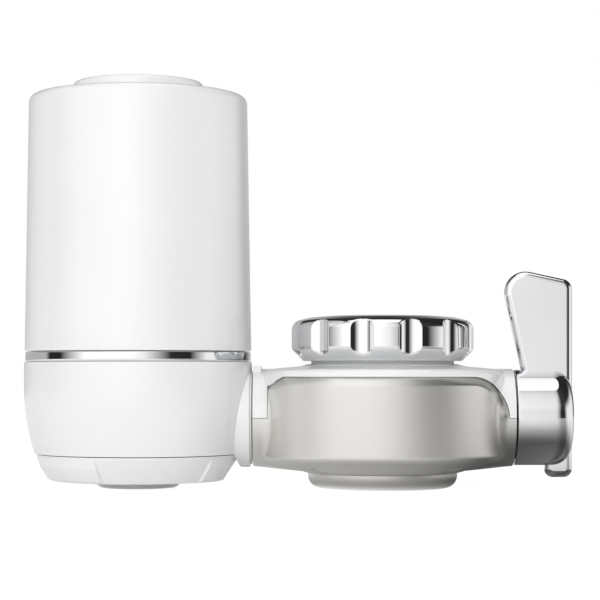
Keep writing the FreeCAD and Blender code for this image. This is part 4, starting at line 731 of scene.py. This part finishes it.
def level_sheet(name, half, height, finish):
    """A level square sheet round the origin, from its half side and its height."""
    corners = [(-half, -half, height), (half, -half, height), (half, half, height), (-half, half, height)]
    return stage_sheet(name, corners, [(0, 1, 2, 3)], finish)


def only_reflected(sheet):
    """The sheet is seen by glossy rays alone."""
    sheet.visible_camera = False
    sheet.visible_diffuse = False
    sheet.visible_transmission = False
    sheet.visible_shadow = False


paper = bpy.data.materials.new("white paper floor")
paper.use_nodes = True
tree = paper.node_tree
matt = tree.nodes["Principled BSDF"]
matt.inputs["Base Color"].default_value = (0.9, 0.9, 0.9, 1)
matt.inputs["Roughness"].default_value = 0.9
matt.inputs["Specular IOR Level"].default_value = 0.2
glow = tree.nodes.new("ShaderNodeEmission")
glow.inputs["Strength"].default_value = FLOOR_GLOW
share = tree.nodes.new("ShaderNodeMath")
share.operation = "MULTIPLY"
share.inputs[1].default_value = FLOOR_GLOW_SHARE
blend = tree.nodes.new("ShaderNodeMixShader")
tree.links.new(background_rays(tree), share.inputs[0])
tree.links.new(share.outputs[0], blend.inputs["Fac"])
tree.links.new(matt.outputs[0], blend.inputs[1])
tree.links.new(glow.outputs[0], blend.inputs[2])
tree.links.new(blend.outputs[0], tree.nodes["Material Output"].inputs["Surface"])
level_sheet("floor", FLOOR_HALF, FLOOR_HEIGHT, paper)

world = bpy.data.worlds.new("white surround")
bpy.context.scene.world = world
world.use_nodes = True
tree = world.node_tree
surround = tree.nodes["Background"]
surround.inputs["Color"].default_value = (1, 1, 1, 1)
strength = tree.nodes.new("ShaderNodeMapRange")
strength.inputs["To Min"].default_value = SURROUND_ON_OBJECT
strength.inputs["To Max"].default_value = WHITE_BACKDROP
tree.links.new(background_rays(tree), strength.inputs["Value"])
tree.links.new(strength.outputs["Result"], surround.inputs["Strength"])

# Tones of the painted reflections on the surround by compass angle in degrees, from the camera's side (0)
# round by the right:
# those of its upright wall, and those of the slope above, which come in with the height. Dark tones paint
# reflected dark strips, pale ones painted highlights.
WALL_RADIUS, WALL_TOP = 1.4, 0.65
# The ceiling's tone is the brightness of its painted highlight.
CEILING_RADIUS, CEILING_HEIGHT, REFLECTED_CEILING_TONE = 0.75, 1.75, 1.2
SLOPE_FROM, SLOPE_FULL = 0.25, 0.75
REFLECTED_WALL_TONES = [(-180, 0.5), (-101, 0.5), (-95, 0.02), (-80, 0.02), (-52, 1.2), (-8, 1.2), (6, 1.0),
              (34, 0.03), (56, 0.02), (76, 0.97), (122, 0.97), (141, 0.04), (146, 0.04), (166, 0.5),
              (180, 0.5)]
REFLECTED_SLOPE_TONES = [(-180, 0.03), (-120, 0.03), (-85, 0.5), (-60, 1.15), (0, 1.2), (14, 0.9), (40, 0.05),
               (100, 0.02), (180, 0.03)]


def tone_ramp(tree, tones):
    """A colour ramp of grey tones given as (place from 0 to 1, tone)."""
    scale = tree.nodes.new("ShaderNodeValToRGB")
    stops = scale.color_ramp.elements
    while len(stops) < len(tones):
        stops.new(0.5)
    for stop, (place, tone) in zip(list(stops), tones):
        stop.position = place
        stop.color = (tone, tone, tone, 1)
    return scale


def compass_ramp(tree, origin, tones):
    """The tone by compass angle round an origin: the vector's turn about Z, from the camera's side."""
    place = tree.nodes.new("ShaderNodeTexCoord")
    facing = tree.nodes.new("ShaderNodeMapping")
    facing.inputs["Rotation"].default_value = (0, 0, math.radians(90))
    facing.inputs["Location"].default_value = (origin[1], -origin[0], 0)
    compass = tree.nodes.new("ShaderNodeTexGradient")
    compass.gradient_type = "RADIAL"
    scale = tone_ramp(tree, [(angle / 360 + 0.5, tone) for angle, tone in tones])
    tree.links.new(place.outputs["Object"], facing.inputs["Vector"])
    tree.links.new(facing.outputs["Vector"], compass.inputs["Vector"])
    tree.links.new(compass.outputs["Fac"], scale.inputs["Fac"])
    return scale.outputs["Color"]


def glowing(name):
    """An emission finish, as its material, node tree and colour input."""
    finish = bpy.data.materials.new(name)
    finish.use_nodes = True
    tree = finish.node_tree
    tree.nodes.remove(tree.nodes["Principled BSDF"])
    glow = tree.nodes.new("ShaderNodeEmission")
    tree.links.new(glow.outputs[0], tree.nodes["Material Output"].inputs["Surface"])
    return finish, tree, glow.inputs["Color"]


def colour_mix(tree, first, second, blend_type="MIX"):
    """A colour mix node fed by two sockets, with its factor at one."""
    mix = tree.nodes.new("ShaderNodeMix")
    mix.data_type = "RGBA"
    mix.blend_type = blend_type
    mix.inputs["Factor"].default_value = 1
    tree.links.new(first, mix.inputs["A"])
    tree.links.new(second, mix.inputs["B"])
    return mix


def multiplied(tree, first, second):
    """The product of two colours."""
    return colour_mix(tree, first, second, "MULTIPLY").outputs["Result"]


# Glowing wall that is no lamp: painted reflections of pale and dark panels on chrome, satin and the white
# plastic's gloss, seen by glossy rays alone.
reflection_wall_finish, tree, tone = glowing("painted reflection wall")
height = tree.nodes.new("ShaderNodeSeparateXYZ")
place = tree.nodes.new("ShaderNodeTexCoord")
rise = tree.nodes.new("ShaderNodeMapRange")
rise.interpolation_type = "SMOOTHSTEP"
rise.inputs["From Min"].default_value = SLOPE_FROM
rise.inputs["From Max"].default_value = SLOPE_FULL
tree.links.new(place.outputs["Object"], height.inputs[0])
tree.links.new(height.outputs["Z"], rise.inputs["Value"])
by_height = colour_mix(
    tree, compass_ramp(tree, (0, 0), REFLECTED_WALL_TONES), compass_ramp(tree, (0, 0), REFLECTED_SLOPE_TONES))
tree.links.new(rise.outputs["Result"], by_height.inputs["Factor"])
tree.links.new(by_height.outputs["Result"], tone)
turn = np.linspace(0, 2 * math.pi, 180, endpoint=False)
rings = ((WALL_RADIUS, FLOOR_HEIGHT), (WALL_RADIUS, WALL_TOP), (CEILING_RADIUS, CEILING_HEIGHT))
wall_points = [(radius * math.cos(a), radius * math.sin(a), z) for radius, z in rings for a in turn]
only_reflected(stage_sheet(
    "painted_reflection_wall", wall_points, sheet_faces(len(rings), len(turn), close_rows=False).tolist(),
    reflection_wall_finish))
# Glowing ceiling that is no lamp: a painted highlight in polished surfaces, seen by glossy rays alone.
reflection_ceiling_finish, tree, tone = glowing("painted highlight ceiling")
tone.default_value = (REFLECTED_CEILING_TONE, REFLECTED_CEILING_TONE, REFLECTED_CEILING_TONE, 1)
only_reflected(stage_sheet(
    "painted_highlight_ceiling", [(CEILING_RADIUS * math.cos(a), CEILING_RADIUS * math.sin(a), CEILING_HEIGHT)
                    for a in turn], [tuple(range(len(turn)))], reflection_ceiling_finish))

# Tones of the card, which paints shade into the reflections of the floor, multiplied: by distance in
# metres from a spot under the lever's hub, where painted shadow darkens it, by distance from the drum's
# axis, where painted shade darkens it round the outlet and a painted bright patch lies under the middle,
# and by compass angle round the hub's spot, for painted dark strips.
CARD_HALF, CARD_LIFT = 2, 0.0001
CARD_REACH = 0.4
HUB_SPOT = (0.052, 0.0, FLOOR_HEIGHT)
DRUM_SPOT = (0.0, 0.0, FLOOR_HEIGHT)
HUB_SHADOW_TONES = [(0.0, 0.2), (0.012, 0.15), (0.02, 0.11), (0.026, 0.16), (0.033, 0.28), (0.045, 0.42),
             (0.06, 0.6), (0.09, 0.76), (0.14, 0.86), (0.4, 0.95)]
DRUM_SHADE_AND_HIGHLIGHT_TONES = [(0.0, 1.6), (0.02, 1.6), (0.0225, 0.55), (0.04, 0.65), (0.06, 1.0), (0.4, 1.0)]
CARD_REFLECTED_STRIP_TONES = [(-180, 1.0), (3, 1.0), (34, 0.45), (56, 0.45), (76, 1.0), (122, 1.0), (141, 0.5),
                      (150, 0.5), (180, 1.0)]


def distance_ramp(tree, spot, tones):
    """The tone by distance from a spot."""
    place = tree.nodes.new("ShaderNodeTexCoord")
    reach = tree.nodes.new("ShaderNodeVectorMath")
    reach.operation = "DISTANCE"
    reach.inputs[1].default_value = spot
    share = tree.nodes.new("ShaderNodeMath")
    share.operation = "DIVIDE"
    share.inputs[1].default_value = CARD_REACH
    scale = tone_ramp(tree, [(distance / CARD_REACH, tone) for distance, tone in tones])
    tree.links.new(place.outputs["Object"], reach.inputs[0])
    tree.links.new(reach.outputs["Value"], share.inputs[0])
    tree.links.new(share.outputs[0], scale.inputs["Fac"])
    return scale.outputs["Color"]


# Glowing card that is no lamp, seen by glossy rays alone: painted floor shadow under the lever and the
# outlet, a painted bright patch under the drum and painted dark strips.
shadow_card_finish, tree, tone = glowing("painted shadow card")
near = multiplied(tree, distance_ramp(tree, HUB_SPOT, HUB_SHADOW_TONES),
                  distance_ramp(tree, DRUM_SPOT, DRUM_SHADE_AND_HIGHLIGHT_TONES))
tree.links.new(multiplied(tree, near, compass_ramp(tree, HUB_SPOT, CARD_REFLECTED_STRIP_TONES)), tone)
only_reflected(level_sheet("painted_shadow_card", CARD_HALF, FLOOR_HEIGHT + CARD_LIFT, shadow_card_finish))


def soft_lamp(name, place, aim, size, power):
    """A rectangular soft lamp of size in metres and power in watts at place, turned towards aim."""
    data = bpy.data.lights.new(name, "AREA")
    data.shape = "RECTANGLE"
    data.size, data.size_y = size
    data.energy = power
    lamp = bpy.data.objects.new(name, data)
    bpy.context.scene.collection.objects.link(lamp)
    lamp.location = place
    away = np.array(place, float) - np.array(aim, float)
    flat = math.hypot(away[0], away[1])
    lamp.rotation_euler = (math.atan2(flat, away[2]), 0, math.atan2(away[1], away[0]) + math.pi / 2)
    lamp.visible_glossy = False
    return lamp


soft_lamp("front_box", (-0.3, -1.1, 0.35), (0, 0, 0), (0.6, 0.9), 5.7)
soft_lamp("right_box", (1.0, -0.1, 0.3), (0, 0, 0), (0.4, 0.9), 0.8)
soft_lamp("top_box", (-0.1, 0.1, 0.9), (0, 0, 0), (0.9, 0.6), 1.6)

# Camera: level and a little below the middle of the object, 0.6 m in front of the diverter, with a
# long lens. The shift alone lifts the frame, so that upright edges stay upright.
camera_data = bpy.data.cameras.new("camera")
camera_data.lens = 117.0
camera_data.sensor_width = 36.0
camera_data.shift_y = 0.1158
camera = bpy.data.objects.new("camera", camera_data)
bpy.context.scene.collection.objects.link(camera)
camera.location = (-0.02546, -0.602, -0.0078)
camera.rotation_euler = (math.radians(90), 0, 0)
bpy.context.scene.camera = camera
bpy.context.scene.view_settings.view_transform = "Standard"
